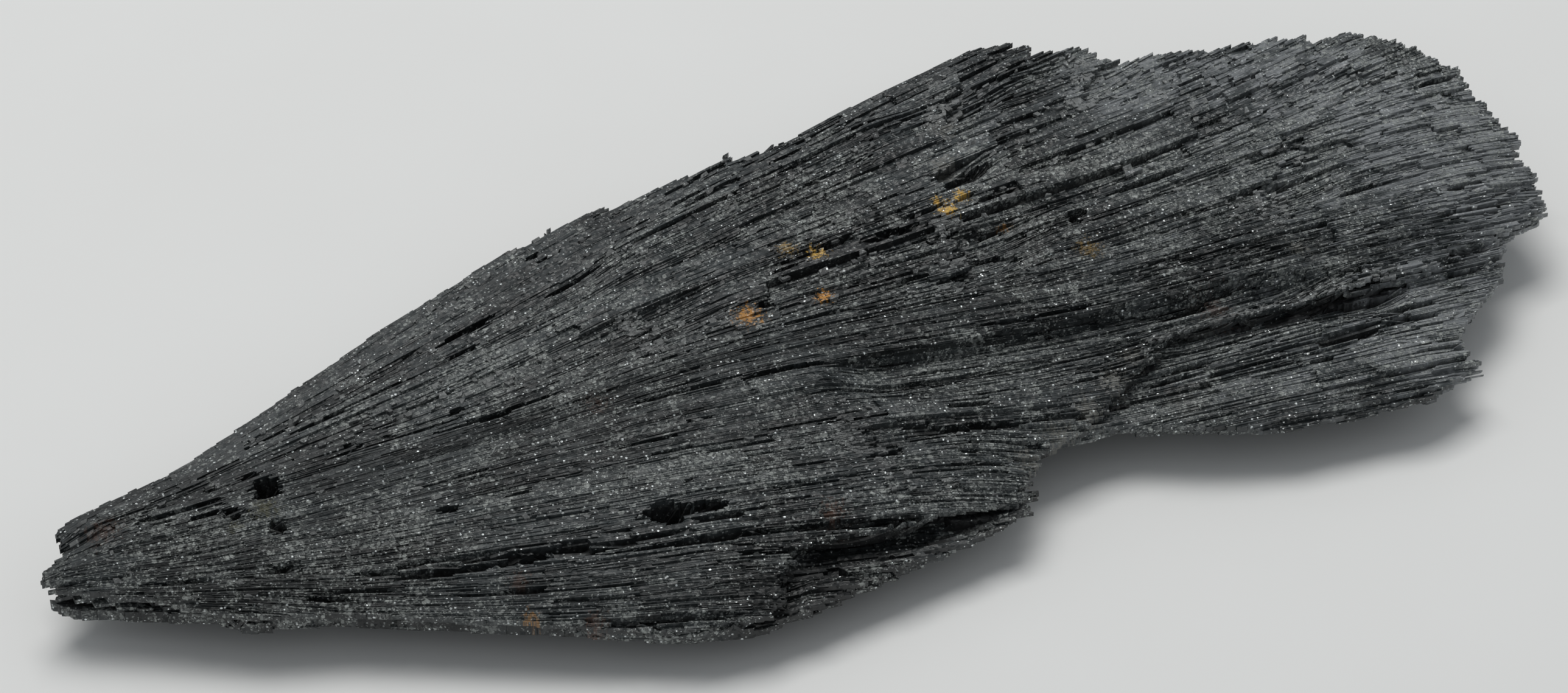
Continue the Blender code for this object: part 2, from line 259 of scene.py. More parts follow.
# %% Ledges and shelves
# Ledges: two end points, the drop beyond them, and the length over which it rises again.
LEDGES = [
    ((18.9, 22.6), (23.5, 30.0), 0.9, 8.0),
    ((16.3, 15.0), (16.3, 17.9), 1.2, 7.0),
    ((12.9, 4.8), (14.7, 10.4), 1.0, 9.0),
    ((31.6, 22.6), (34.4, 27.3), 0.7, 7.0),
    ((-11.1, 7.0), (-11.9, 10.9), 0.5, 8.0),
    ((0.1, -9.5), (-1.0, -6.4), 0.5, 9.0),
    ((39.6, 3.9), (41.0, 8.3), 0.6, 8.0),
]

# Shelves: two end points, the drop on the near side, and the width over which it rises again.
SHELVES = [
    ((4.5, 0.2), (36.7, -1.9), 1.6, 6.0),
    ((-8.9, 19.3), (13.4, 26.1), -0.8, 6.0),
]
print("steps on the top sheet:", len(LEDGES), "ledges and", len(SHELVES), "shelves")

# %% Grooves and pits
# Two end points, half the width, and the depth.
GROOVES = [
    # The slit, the holes and the pits of the root.
    ((-52.4, 3.7), (-49.3, 3.4), 0.26, 1.3),
    ((-49.3, 3.4), (-45.6, 2.6), 0.40, 1.8),
    ((-46.8, 2.5), (-44.7, 2.0), 0.75, 2.4),
    ((-44.8, 6.0), (-41.8, 5.9), 0.32, 1.4),
    ((-44.4, 4.2), (-41.0, 3.3), 1.25, 3.6),
    ((-44.2, 0.1), (-42.0, -0.3), 0.95, 3.0),
    ((-48.8, -4.9), (-47.2, -5.4), 0.55, 1.5),
    ((-54.0, -0.9), (-48.3, -2.5), 0.22, 1.0),
    ((-45.6, -3.1), (-42.0, -4.1), 0.40, 1.5),
    ((-43.2, -5.9), (-39.8, -7.6), 0.50, 1.8),
    # Slots along the near rim.
    ((-56.0, -2.8), (-50.3, -5.0), 0.16, 1.0),
    ((-47.7, -6.4), (-38.1, -10.3), 0.22, 1.0),
    ((-35.7, -11.3), (-25.2, -15.5), 0.26, 1.2),
    ((-26.2, -15.0), (-13.6, -19.2), 0.50, 1.8),
    # Long cracks from the root to the middle.
    ((-39.0, 5.3), (-26.0, 4.4), 0.36, 1.7),
    ((-36.6, 5.5), (-34.5, 5.5), 0.30, 1.2),
    ((-31.5, 4.4), (-18.6, 3.8), 0.38, 1.7),
    ((-41.0, -5.5), (-28.0, -9.3), 0.34, 1.7),
    ((-37.0, -6.6), (-18.0, -11.8), 0.32, 1.8),
    ((-22.0, -10.9), (-8.0, -14.0), 0.34, 1.7),
    ((-12.0, -13.2), (1.8, -15.0), 0.40, 1.9),
    # Short slots near the root.
    ((-27.0, 14.2), (-20.2, 15.3), 0.24, 1.4),
    ((-26.5, 12.1), (-22.7, 12.6), 0.18, 1.0),
    ((-17.4, 16.5), (-11.4, 16.5), 0.20, 0.8),
    ((-28.7, 5.9), (-26.3, 6.2), 0.30, 1.0),
    ((-30.2, -1.1), (-26.9, -1.1), 0.22, 0.9),
    ((-32.4, -3.1), (-29.8, -3.2), 0.42, 1.3),
    ((-27.2, -3.2), (-24.5, -3.9), 0.22, 0.8),
    ((-30.7, -10.4), (-24.2, -12.8), 0.20, 0.9),
    ((-18.3, -2.0), (-12.4, -3.0), 0.24, 1.0),
    # The hole in the near half, and the slots beside it.
    ((-18.2, -8.9), (-14.6, -9.6), 1.10, 3.4),
    ((-16.4, -9.3), (-11.6, -10.1), 0.60, 2.8),
    ((-14.8, -7.1), (-13.2, -7.1), 0.40, 1.0),
    ((-10.4, -16.3), (-2.6, -17.5), 0.60, 1.8),
    ((-13.4, -14.8), (-9.0, -14.9), 0.26, 1.1),
    # Cracks of the middle and of the near half, up to the crumbled edge.
    ((-15.0, 1.5), (-4.0, 0.9), 0.26, 1.3),
    ((-8.0, 1.0), (0.6, 0.6), 0.42, 1.7),
    ((2.8, 0.7), (12.0, 0.3), 0.22, 1.0),
    ((-3.8, -2.1), (10.0, -3.1), 0.24, 1.2),
    ((1.4, -7.5), (12.7, -8.7), 0.24, 1.0),
    ((12.4, -8.5), (18.3, -9.3), 0.40, 1.4),
    ((6.1, -10.1), (14.3, -10.4), 0.24, 1.0),
    ((3.0, -11.4), (10.5, -12.1), 0.24, 1.0),
    # Slots and pits of the far half.
    ((-16.7, 21.9), (-14.9, 22.3), 0.36, 1.0),
    ((3.7, 22.8), (9.1, 22.9), 0.24, 1.0),
    ((5.7, 20.4), (13.5, 21.5), 0.24, 1.0),
    ((10.3, 16.3), (13.5, 15.9), 0.24, 0.9),
    ((7.1, 12.1), (12.6, 12.7), 0.38, 1.3),
    ((11.8, 8.6), (19.4, 6.7), 0.24, 1.0),
    ((10.9, 5.8), (14.6, 5.7), 0.44, 1.6),
    ((4.4, 8.0), (6.8, 7.6), 0.26, 0.9),
    ((-3.0, 8.3), (-0.7, 7.8), 0.50, 1.7),
    ((15.9, 16.8), (21.9, 17.2), 0.48, 1.4),
    # Slots of the wide end.
    ((23.3, 8.7), (26.1, 9.0), 0.50, 1.7),
    ((27.4, 10.6), (36.2, 10.8), 0.36, 1.5),
    ((37.2, 8.0), (44.9, 7.2), 0.26, 1.0),
    ((45.5, 5.2), (49.6, 4.9), 0.26, 0.9),
    ((39.0, 1.9), (45.8, 2.4), 0.30, 1.0),
    ((27.4, 3.0), (38.4, 2.1), 0.26, 1.0),
    # The dark line along the foot of the shelf.
    ((11.0, 0.8), (24.2, -1.3), 0.36, 1.6),
    ((20.2, 0.9), (29.6, -0.7), 0.22, 1.0),
    ((20.5, -1.6), (38.0, -1.8), 0.40, 2.0),
    ((25.8, -2.1), (31.5, -2.1), 0.78, 2.4),
    # Slots of the lobe.
    ((22.3, -7.5), (28.0, -7.7), 0.26, 1.0),
    ((30.8, -9.7), (35.6, -10.2), 0.24, 0.9),
    ((37.6, -15.4), (42.2, -16.2), 0.22, 0.8),
    ((38.0, -7.6), (52.0, -6.3), 0.20, 0.8),
    ((30.0, -7.3), (44.0, -8.3), 0.18, 0.7),
]
DEEP_GROOVE = 1.6
print("grooves:", len(GROOVES), "and", sum(item[3] > DEEP_GROOVE for item in GROOVES), "of them deep")


# %% Rim and fullness
def rim_height(x, y):
    """The height of the middle of the rim. The far rim lies higher than the near one."""
    return 5.5 + 0.058 * (y - 8.0) + 0.01 * x


def rim_half(x):
    """Half the thickness of the rim, more at the root."""
    return 0.75 + 0.75 * ramp(-x, 46.0, 60.0)


def fullness(x, y, bulge):
    """0 at the rim and near 1 in the middle of the fan, less toward the wide edge."""
    share = 1.0 - np.exp(-look_up(RIM_DISTANCE, x, y) / bulge)
    return share * (1.0 - 0.5 * ramp(x, 18.0, 60.0))


thin, thick = (round(2.0 * float(rim_half(x)), 1) for x in (0.0, -60.0))
print("the rim is", thin, "mm thick, and", thick, "mm at the root")


# %% Steps at ledges and shelves
def ledge_cross(ledge, slope):
    """Where a ledge crosses the blade with this slope, and whether it does."""
    (x0, y0), (x1, y1), _, _ = ledge
    first, last = slope_at(x0, y0), slope_at(x1, y1)
    share = (slope - first) / (last - first)
    ragged = 1.3 * swell(slope * 140.0, x0, 31) + 0.5 * swell(slope * 420.0, x0, 32)
    return x0 + (x1 - x0) * share + ragged, (share >= 0.0) & (share <= 1.0)


def named_drop(x, y, slope, centre_x, centre_y):
    """How far the ledges and shelves lower the top. The side of a step is that of the centre."""
    drop = np.zeros(np.shape(x))
    for ledge in LEDGES:
        cross, met = ledge_cross(ledge, slope)
        depth, length = ledge[2:]
        behind = np.maximum(0.0, x - cross)
        fade = 1.0 - ramp(behind, 0.3 * length, length)
        drop += np.where(met & (centre_x > cross), depth * fade, 0.0)
    for (x0, y0), (x1, y1), depth, width in SHELVES:
        below = y0 + (y1 - y0) * (centre_x - x0) / (x1 - x0) - centre_y
        below = below + 0.35 * swell(centre_x / 3.0, slope * 90.0, 41)
        ends = ramp(x, x0 - 6.0, x0) * (1.0 - ramp(x, x1, x1 + 6.0))
        step = ramp(below, 0.0, 0.4) * (1.0 - ramp(below, 1.0, width))
        drop += depth * ends * step
    return drop


crossing = ledge_cross(LEDGES[2], slope_at(13.8, 7.6))[0]
print("the longest ledge crosses its middle blade at x =", round(float(crossing), 1))

# %% [markdown]
# The crown rises 3.4 mm above the rim and the keel sinks 6 mm below it, until it meets the table.
# The lobe and the short layer are flatter and lie lower than the top sheet. Under its edge they
# sink once more, like a trench, so that the edge stands over a dark gap.


# %% Top and underside of a sheet
CROWN, KEEL = 3.4, 6.0


def top_surface(x, y, sheet):
    """The even top of a sheet, without its steps."""
    full = fullness(x, y, 8.0)
    height = rim_height(x, y) + rim_half(x) + sheet["crown"] * CROWN * full - sheet["lower"]
    slope = (y - AIM_Y) / np.maximum(8.0, x - AIM_X)
    swells = 0.22 * swell(slope * 38.0, x / 26.0, 3) + 0.12 * swell(slope * 90.0, x / 15.0, 4)
    height = height - sheet["trench"] * (1.0 - ramp(look_up(UNDERCUT, x, y), 0.2, 2.6))
    return height + swells * ramp(x, -62.0, -30.0) * np.clip(full * 2.5, 0.0, 1.0)


def under_surface(x, y, sheet):
    """The even underside of a sheet, flat where it meets the table."""
    height = rim_height(x, y) - rim_half(x) - sheet["keel"] * KEEL * fullness(x, y, 9.5)
    slope = (y - AIM_Y) / np.maximum(8.0, x - AIM_X)
    swells = 0.30 * swell(slope * 42.0, x / 24.0, 5) + 0.10 * swell(slope * 95.0, x / 15.0, 6)
    return np.maximum(0.0, height + swells * ramp(x, -62.0, -30.0))


TOP = {"name": "top", "outline": TOP_SHEET, "crown": 1.0, "keel": 1.0, "lower": 0.0, "trench": 0.0,
       "steps": True, "layers": 5}
LOBE = {"name": "lobe", "outline": LOBE_SHEET, "crown": 0.45, "keel": 0.8, "lower": 0.6, "trench": 1.0,
        "steps": False, "layers": 3}
SHORT = {"name": "short", "outline": SHORT_SHEET, "crown": 0.35, "keel": 0.7, "lower": 0.6,
         "trench": 1.0, "steps": False, "layers": 3}
for sheet in (TOP, LOBE, SHORT):
    sheet["inside"] = inside_grid(sheet["outline"])
    sheet["edge"] = distance_grid(sides(sheet["outline"]))
crown_top = float(top_surface(CELL_X, CELL_Y, TOP).max())
print("the crown is", round(crown_top, 1), "mm above the table")

# %% [markdown]
# ## Splitting a sheet into laths
# A fan of kyanite is split at every size: blades of a few millimetres part into strips, and
# strips into fibres a fifth of a millimetre wide that break every few millimetres. So one cell
# that covers a whole sheet is halved again and again, across or along the growth, whichever is
# too large for its shape. Each half adds a small step and a small tilt to those of its parent.
# No split runs the whole length except the first few, which is why no two stretches look alike.


# %% A sheet in terms of slope and x
SLOPE_STEP = 0.0005
LAST_SLOPE = 0.46
SHEET_START, SHEET_END = -61.5, 65.0
WHOLE_FAN = (-LAST_SLOPE, LAST_SLOPE)
SHEET_SLOPES = np.arange(-LAST_SLOPE, LAST_SLOPE + SLOPE_STEP, SLOPE_STEP)
SHEET_X = np.arange(SHEET_START, SHEET_END, CELL)


def slope_table(inside):
    """Which places lie within an outline, by slope and x, and the running sums of that table."""
    slopes, xs = np.meshgrid(SHEET_SLOPES, SHEET_X, indexing="ij")
    table = look_up(inside, xs, blade_y(slopes, xs))
    return table, np.pad(table.cumsum(0).cumsum(1), ((1, 0), (1, 0))).tolist()


def table_row(slope):
    """The row of a sheet's table for a slope."""
    return min(max(int((slope - SHEET_SLOPES[0]) / SLOPE_STEP), 0), len(SHEET_SLOPES) - 1)


def table_column(x):
    """The column of a sheet's table for a place along x."""
    return min(max(int((x - SHEET_X[0]) / CELL), 0), len(SHEET_X) - 1)


def misses(sums, s0, s1, x0, x1):
    """True where no part of a cell lies within the outline."""
    top, bottom, left, right = table_row(s0), table_row(s1) + 1, table_column(x0), table_column(x1) + 1
    return sums[bottom][right] - sums[top][right] - sums[bottom][left] + sums[top][left] == 0


print("a sheet is a table of", len(SHEET_SLOPES), "slopes by", len(SHEET_X), "places along x")


# %% Where the stone is worn
def plain(x, slope):
    """1 on the worn, even plain near the root and 0 on the flanks and toward the wide edge."""
    along = min(max((x + 55.0) / 15.0, 0.0), 1.0) * min(max((15.0 - x) / 15.0, 0.0), 1.0)
    return along * max(0.0, 1.0 - (abs(slope + 0.03) / 0.22) ** 2)


def flank(x, slope):
    """1 on the smooth far flank toward the root, 0 elsewhere."""
    return min(max((slope - 0.22) / 0.1, 0.0), 1.0) * min(max((8.0 - x) / 20.0, 0.0), 1.0)


print("worn by", round(plain(-30.0, 0.0), 2), "on the plain and", plain(40.0, 0.0), "at the wide end")

# %% [markdown]
# A cell holds two slopes, two places along x, a height, a lean across the growth, a pitch along
# it and a tint. A narrow, long cell may become a slot instead of fibres: one sunken strip. Slots
# come in crowds, as in the real stone, because smooth noise decides where they are allowed.


# %% Halving cells
def child_of(parent, off_across, off_along, width, calm, rough, rng):
    """Height, lean, pitch and tint of one half of a cell: those of its parent, changed a little."""
    lift, lean, pitch, tint = parent
    child = [lift + lean * off_across + pitch * off_along, lean, pitch, tint]
    if 3.5 <= width < 9.0:
        child[1] += rng.gauss(0.0, 0.09) * rough
        child[2] += rng.gauss(0.0, 0.012) * rough
        child[3] += rng.gauss(0.0, 0.16)
    if width < 3.5:
        child[0] += rng.gauss(0.0, 0.024) * calm * min(width, 1.0) ** 0.5
        if rng.random() < 0.09:
            child[0] += rng.gauss(0.0, 0.17) * calm * min(width, 1.5) ** 0.5
        child[1] = 0.8 * lean + rng.gauss(0.0, 0.04) * calm
        child[2] = 0.8 * pitch + rng.gauss(0.0, 0.006) * calm
        child[3] += rng.gauss(0.0, 0.14 + 0.05 * rough)
    return child


def halves(cell, sums, fibre, shape, relief, slots, rng):
    """Halves a cell until it is a fibre or a slot. The last number of a result is a slot's depth."""
    waiting = [cell]
    while waiting:
        s0, s1, x0, x1, lift, lean, pitch, tint = waiting.pop()
        if misses(sums, s0, s1, x0, x1):
            continue
        middle_x = (x0 + x1) / 2
        reach = middle_x - AIM_X
        width, length = (s1 - s0) * reach, x1 - x0
        rough = min(1.0, max(0.0, (middle_x - 10.0) / 35.0))
        worn = max(0.75 * plain(middle_x, (s0 + s1) / 2), 0.7 * flank(middle_x, (s0 + s1) / 2))
        calm = relief * (1.0 + 0.9 * rough - worn)
        crumbly = float(swell((s0 + s1) * 22.0, middle_x / 9.0, 13))
        long = shape * (1.0 - 0.45 * rough) * (0.75 + 0.4 * crumbly)
        if width < fibre * rng.uniform(0.8, 1.7) and length < long * fibre * rng.uniform(0.5, 1.6):
            yield s0, s1, x0, x1, lift, lean, pitch, tint, 0.0
            continue
        slot_share = slots * calm * (1.0 + 0.9 * rough)
        if 0.16 < width < 0.42 and 1.5 < length < 16.0 and rng.random() < slot_share:
            crowd = float(swell((s0 + s1) * 14.0, middle_x / 18.0, 11))
            if rng.random() < 2.0 * crowd - 0.35:
                depth = rng.uniform(0.5, 1.5) * min(1.0, length / 4.0)
                yield s0, s1, x0, x1, lift, 0.0, pitch, 0.2, depth
                continue
        cut = rng.uniform(0.32, 0.68)
        if width * long > length:
            middle = s0 + (s1 - s0) * cut
            kids = [(s0, middle, x0, x1), (middle, s1, x0, x1)]
        else:
            middle = x0 + length * cut
            kids = [(s0, s1, x0, middle), (s0, s1, middle, x1)]
        for a, b, p, q in kids:
            off_across = ((a + b) - (s0 + s1)) / 2 * reach
            off_along = (p + q) / 2 - middle_x
            parent = (lift, lean, pitch, tint)
            waiting.append((a, b, p, q, *child_of(parent, off_across, off_along, width, calm, rough, rng)))


# %% [markdown]
# Large breaks come on top of the random ones. A fibre that runs over a ledge is cut there, so
# that each part keeps to its own side of the step. A fibre that runs through a groove is cut at
# both ends of it, and the part between them sinks out of sight.


# %% Breaks at ledges and grooves
GROOVE_LINES = [(slope_at((x0 + x1) / 2, (y0 + y1) / 2), x0, x1, half, depth)
                for (x0, y0), (x1, y1), half, depth in GROOVES]
LEDGE_SLOPES = [(slope_at(*ledge[0]), slope_at(*ledge[1])) for ledge in LEDGES]


def sunken(slope, x0, x1, rng):
    """The stretches of a fibre that lie in grooves: start, end, depth."""
    for line, start, end, half, depth in GROOVE_LINES:
        if x1 > start and x0 < end:
            off = abs(slope - line) * ((start + end) / 2 - AIM_X) / half
            if off < 1.0:
                length = end - start
                cut = math.asin(off ** (4 if length < 5.0 else 2)) / math.pi
                first = start + length * (cut + rng.uniform(0.0, 0.08))
                last = end - length * (cut + rng.uniform(0.0, 0.08))
                yield first, last, depth * (1.0 - 0.3 * off)


def stretches(slope, x0, x1, dip, grooves, rng):
    """Cuts a fibre at ledges and at grooves into stretches: start, end, dip, dip start, dip end."""
    dips = [item for item in sunken(slope, x0, x1, rng) if item[1] > item[0]] if grooves else []
    cuts = {x0, x1}
    for start, end, _ in dips:
        cuts.update((start, end))
    for ledge, (low, high) in zip(LEDGES, LEDGE_SLOPES):
        if grooves and low < slope < high:
            cuts.add(float(ledge_cross(ledge, slope)[0]))
    ends = sorted(x for x in cuts if x0 <= x <= x1)
    ends = ends[:1] + [x for x in ends[1:-1] if x0 + 0.3 < x < x1 - 0.3] + ends[-1:]
    for start, end in zip(ends, ends[1:]):
        middle = (start + end) / 2
        over = [item for item in dips if item[0] < middle < item[1]]
        if over:
            deepest = max(over, key=lambda item: item[2])
            yield start, end, deepest[2], deepest[0], deepest[1]
        else:
            yield start, end, dip, start, end


crossed = list(stretches(GROOVE_LINES[4][0], -60.0, -30.0, 0.0, True, random.Random(1)))
print("the blade over the largest hole is cut into", len(crossed), "stretches")

# %% [markdown]
# At the outline each fibre ends a little early or late. Neighbours agree in part, because they
# belong to one strip, so the offset is the sum of a smooth random wave and a smaller jump of
# the fibre's own. At a break inside the sheet both fibres run on a little: the higher one
# then ends in a ragged edge over the lower one, and no gap opens.


# %% Ends at the outline
def runs_inside(table, slope, x0, x1):
    """The stretches of a blade line that lie within an outline."""
    first = table_column(x0)
    within = table[table_row(slope), first:table_column(x1) + 1]
    if within.all():
        yield x0, x1
        return
    edges = np.flatnonzero(np.diff(np.concatenate([[0], within.astype(int), [0]]))).tolist()
    for start, end in zip(edges[::2], edges[1::2]):
        low, high = SHEET_X[0] + (first + start) * CELL, SHEET_X[0] + (first + end) * CELL
        yield max(x0, low), min(x1, high)


def ragged(teeth, slope, x, table_number, rng):
    """How far a fibre stops short of the outline, or runs past it where this is negative."""
    wave = 0.7 * float(swell(slope * 170.0, x / 30.0, table_number)) + 0.3
    if x > 0.0:
        wave += 1.2 * float(swell(slope * 75.0, x / 30.0, table_number + 2))
    return teeth * wave + rng.uniform(-0.28, 0.28)


short_by = [ragged(0.6, slope, 62.0, 22, random.Random(1)) for slope in np.arange(0.0, 0.2, 0.002)]
print("at the wide edge, fibres end between", round(min(short_by), 1), "and", round(max(short_by), 1),
      "mm short of the outline")

# %% [markdown]
# A sheet is laid by halving one cell between two slopes and keeping every fibre that lies inside
# its outline. The result is a plain table with one row for each lath, because the meshes are
# made from whole columns of it at once.

# %% Laying the laths of a sheet
START, END, LIFT, TINT, DIP = 2, 3, 4, 7, 8  # columns of a row that later cells use by name


def lay_laths(inside, slopes, rng, fibre=0.17, shape=18.0, relief=1.0, slots=0.20, teeth=0.6,
              steps=True):
    """Rows of slope, slope, x, x, lift, lean, pitch, tint, dip, dip start, dip end, skew, skew."""
    rows = []
    table, sums = slope_table(inside)
    whole_cell = (*slopes, SHEET_START, SHEET_END, 0.0, 0.0, 0.0, 0.5)
    for s0, s1, x0, x1, *rest in halves(whole_cell, sums, fibre, shape, relief, slots, rng):
        slope = (s0 + s1) / 2
        lift, lean, pitch, tint, own_dip = rest
        for start, end, dip, dip_start, dip_end in stretches(slope, x0, x1, own_dip, steps, rng):
            for p, q in runs_inside(table, slope, start, end):
                edge = teeth * (0.25 if p < -50.0 else 1.0)
                p += ragged(edge, slope, p, 21, rng) if p > start + 0.2 else -rng.uniform(0.05, 0.6)
                q -= ragged(teeth, slope, q, 22, rng) if q < end - 0.2 else -rng.uniform(0.05, 0.6)
                if q - p > (0.25 if dip else 0.4):
                    rows.append((s0, s1, p, q, lift, lean + rng.gauss(0.0, 0.07), pitch, tint, dip,
                                 dip_start, dip_end, rng.uniform(-1.0, 1.0), rng.uniform(-1.0, 1.0)))
    return np.array(rows)


sample = lay_laths(TOP["inside"], (0.10, 0.12), random.Random(1), steps=False)
print("a blade 2 mm wide is split into", len(sample), "laths")

# %% [markdown]
# ## From rows to meshes
# A lath is a closed prism. Its section has five corners: a low ridge on top, two shoulders and
# two skirts that reach down between its neighbours, so that nothing is seen through the joints.
# All laths of one length are made at once with arrays, because a loop over tens of thousands of
# them would take minutes.

# %% Section and stations
SECTION = np.array([0.0, 0.03, 0.5, 0.97, 1.0])
CORNERS = len(SECTION)
EVEN = {count: np.linspace(0.0, 1.0, count) for count in (2, 3, 4, 7)}
DIPPED = {
    "short dip": np.array([0.0, 0.12, 0.88, 1.0]),
    "long dip": np.array([0.0, 0.05, 0.3, 0.7, 0.95, 1.0]),
}
STATIONS = {**EVEN, **DIPPED}
MATERIALS = {}
print("a lath has", CORNERS, "corners at each station, and stations in", len(STATIONS), "ways")

# %% [markdown]
# The small heights that the halving has added up are kept within a quarter of a millimetre above
# the surface, or the fan would grow out of its solid. Over a dip the lath sinks steeply at both
# ends. Its skirts stop short of the underside, so that nothing pokes out below. Each corner also
# notes how deep it lies, and the materials paint the deep ones darker: painted shade.

# %% Corners of a batch of laths
HIGHEST, LOWEST = 0.28, -0.9  # how far the small heights may lift or sink a lath, in mm
LEAST_STONE = 0.5  # stone that stays above the underside of the fan
FLOW_ACROSS = 95.0  # slope times this is about the distance across the growth, in mm


def lath_points(rows, share, surface, depth, facing, rng):
    """Corners of laths as [lath, station, corner], their place in the growth, and their depth."""
    share = share[None, :]
    s0, s1, x0, x1, lift, lean, pitch, tint, dip, dip0, dip1, skew0, skew1 = rows.T[:, :, None]
    x = x0 + (x1 - x0) * share
    middle = (s0 + s1) / 2
    y = blade_y(middle, x)
    width = (s1 - s0) * (x - AIM_X)
    centre_x = (x0 + x1) / 2
    base = surface(x, y, middle, centre_x, blade_y(middle, centre_x))
    raised = lift + pitch * (x - centre_x)
    gently = HIGHEST * np.tanh(raised / HIGHEST)
    base = base + np.where(raised > 0.0, gently, np.maximum(raised, LOWEST))
    base = base + rng.normal(0.0, 0.010, x.shape)
    ground = base
    if facing > 0:
        sunk = base - dip * np.sin(np.pi * np.clip((x - dip0) / (dip1 - dip0), 0.0, 1.0)) ** 0.35
        base = np.minimum(base, np.maximum(sunk, under_surface(x, y, TOP) + LEAST_STONE))
    skirt = depth(x, y, base)
    if facing > 0:
        skirt = np.minimum(skirt, np.maximum(0.15, base - under_surface(x, y, TOP) - 0.25))
    ridge = rng.uniform(0.25, 0.75, centre_x.shape)
    peak = np.minimum(0.035, 0.14 * width) * rng.uniform(0.0, 1.0, centre_x.shape)
    drops = [skirt, peak, 0.0 * peak, peak, skirt]
    corners = np.empty((*x.shape, CORNERS, 3))
    for corner, across in enumerate(SECTION):
        place = ridge if corner == 2 else across
        side = place + rng.normal(0.0, 0.04, x.shape)
        slant = (skew0 * (1.0 - share) + skew1 * share) * np.minimum(0.35, 1.4 * width)
        corners[:, :, corner, 0] = x + slant * (place - 0.5)
        corners[:, :, corner, 1] = blade_y(s0 + (s1 - s0) * side, corners[:, :, corner, 0])
        corners[:, :, corner, 2] = base + facing * (lean * width * (place - 0.5) - drops[corner])
    flow = np.empty_like(corners)
    flow[..., 0] = corners[..., 0] - AIM_X
    flow[..., 1] = (s0 + (s1 - s0) * SECTION)[:, None, :] * FLOW_ACROSS
    flow[..., 2] = np.clip(tint, 0.0, 1.0)[..., None]
    within = ramp(look_up(RIM_DISTANCE, x, y), 0.4, 1.6)
    buried = facing * (ground[..., None] - corners[..., 2]) * within[..., None]
    return corners, flow, buried


# %% Faces of a batch of laths
def lath_faces(count, stations, facing):
    """Side faces and end caps of a batch of laths whose corners are numbered in order."""
    first = np.arange(count)[:, None, None] * stations * CORNERS
    ring = first + np.arange(stations - 1)[None, :, None] * CORNERS
    here = ring + np.arange(CORNERS)
    beside = ring + (np.arange(CORNERS) + 1) % CORNERS
    walls = np.stack([here, here + CORNERS, beside + CORNERS, beside], -1).reshape(-1, 4)
    start = first[:, 0] + np.arange(CORNERS)
    caps = np.concatenate([start, (start + (stations - 1) * CORNERS)[:, ::-1]])
    if facing < 0:
        walls, caps = walls[:, ::-1], caps[:, ::-1]
    return walls, caps


walls, caps = lath_faces(1, 2, 1)
print("the shortest kind of lath has", len(walls), "walls and", len(caps), "end caps")


# %% One object from many laths
def stations_of(rows):
    """Which entry of STATIONS suits each lath: short laths get two stations, long ones seven."""
    length = rows[:, END] - rows[:, START]
    dips = rows[:, DIP] > 0.0
    kinds = [dips & (length < 4.0), dips, length < 2.5, length < 7.0, length < 14.0]
    return np.select(kinds, [4, 5, 0, 1, 2], 3)


def corner_data(mesh, name, kind, field, values):
    """Stores a number or a vector with each corner of a mesh."""
    attribute = mesh.attributes.new(name, kind, "POINT")
    attribute.data.foreach_set(field, values.astype(np.float32).ravel())


def lath_object(name, rows, surface, depth, facing=1, material="kyanite fibres"):
    """One mesh object from rows of laths, with the flow and the depth of each corner."""
    rng = np.random.default_rng(len(rows))
    points, flows, depths, faces, total = [], [], [], [], 0
    chosen = stations_of(rows)
    for number, share in enumerate(STATIONS.values()):
        batch = rows[chosen == number]
        if not len(batch):
            continue
        corners, flow, buried = lath_points(batch, share, surface, depth, facing, rng)
        for kind in lath_faces(len(batch), len(share), facing):
            faces += (kind + total).tolist()
        points.append(corners.reshape(-1, 3))
        flows.append(flow.reshape(-1, 3))
        depths.append(buried.ravel())
        total += len(points[-1])
    points, flows = np.concatenate(points), np.concatenate(flows)
    points[:, 2] = np.maximum(points[:, 2], 0.0)
    points[:, :2] -= BOX_MIDDLE
    mesh = bpy.data.meshes.new(name)
    mesh.from_pydata(points * MM, [], faces)
    corner_data(mesh, "flow", "FLOAT_VECTOR", "vector", flows)
    corner_data(mesh, "buried", "FLOAT", "value", np.concatenate(depths))
    mesh.shade_flat()
    piece = bpy.data.objects.new(name, mesh)
    scene.collection.objects.link(piece)
    mesh.materials.append(MATERIALS[material])
    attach(piece, "root")
    print(name, "has", len(rows), "laths and", sum(len(face) - 2 for face in faces), "triangles")
    return piece


# %% [markdown]
# ## Fibre grain
# Under a loupe each lath is ruled with finer lines along the growth. Every corner of the mesh
# carries its place in the fan: how far along the growth, how far across it, and a tint of its
# own. Noise that is stretched along the first and squeezed along the second draws the lines, and
# they bend with the blades by themselves. Grain, bruises, glints, stains and patches are node
# groups, because every finish of the fan uses them. The helpers below keep them short to write.

# %% Node helpers
IN_MM = (1000.0, 1000.0, 1000.0)  # from Blender's metres
FLAT_IN_MM = (1000.0, 1000.0, 0.0)  # the same, seen from above


def node_group(name, inputs, outputs):
    """An empty node group with named sockets. Returns the group, its entry and its exit."""
    group = bpy.data.node_groups.new(name, "ShaderNodeTree")
    for label, kind, value in inputs:
        socket = group.interface.new_socket(label, in_out="INPUT", socket_type="NodeSocket" + kind)
        if value is not None:
            socket.default_value = value
    for label, kind in outputs:
        group.interface.new_socket(label, in_out="OUTPUT", socket_type="NodeSocket" + kind)
    return group, group.nodes.new("NodeGroupInput"), group.nodes.new("NodeGroupOutput")


def add(tree, kind, links=None, **settings):
    """One node. Links maps an input, by name or number, to a socket or to a plain value."""
    node = tree.nodes.new("ShaderNode" + kind)
    for name, value in settings.items():
        setattr(node, name, value)
    for key, value in (links or {}).items():
        socket = node.inputs[key]
        if isinstance(value, bpy.types.NodeSocket):
            tree.links.new(value, socket)
        else:
            socket.default_value = value
    return node


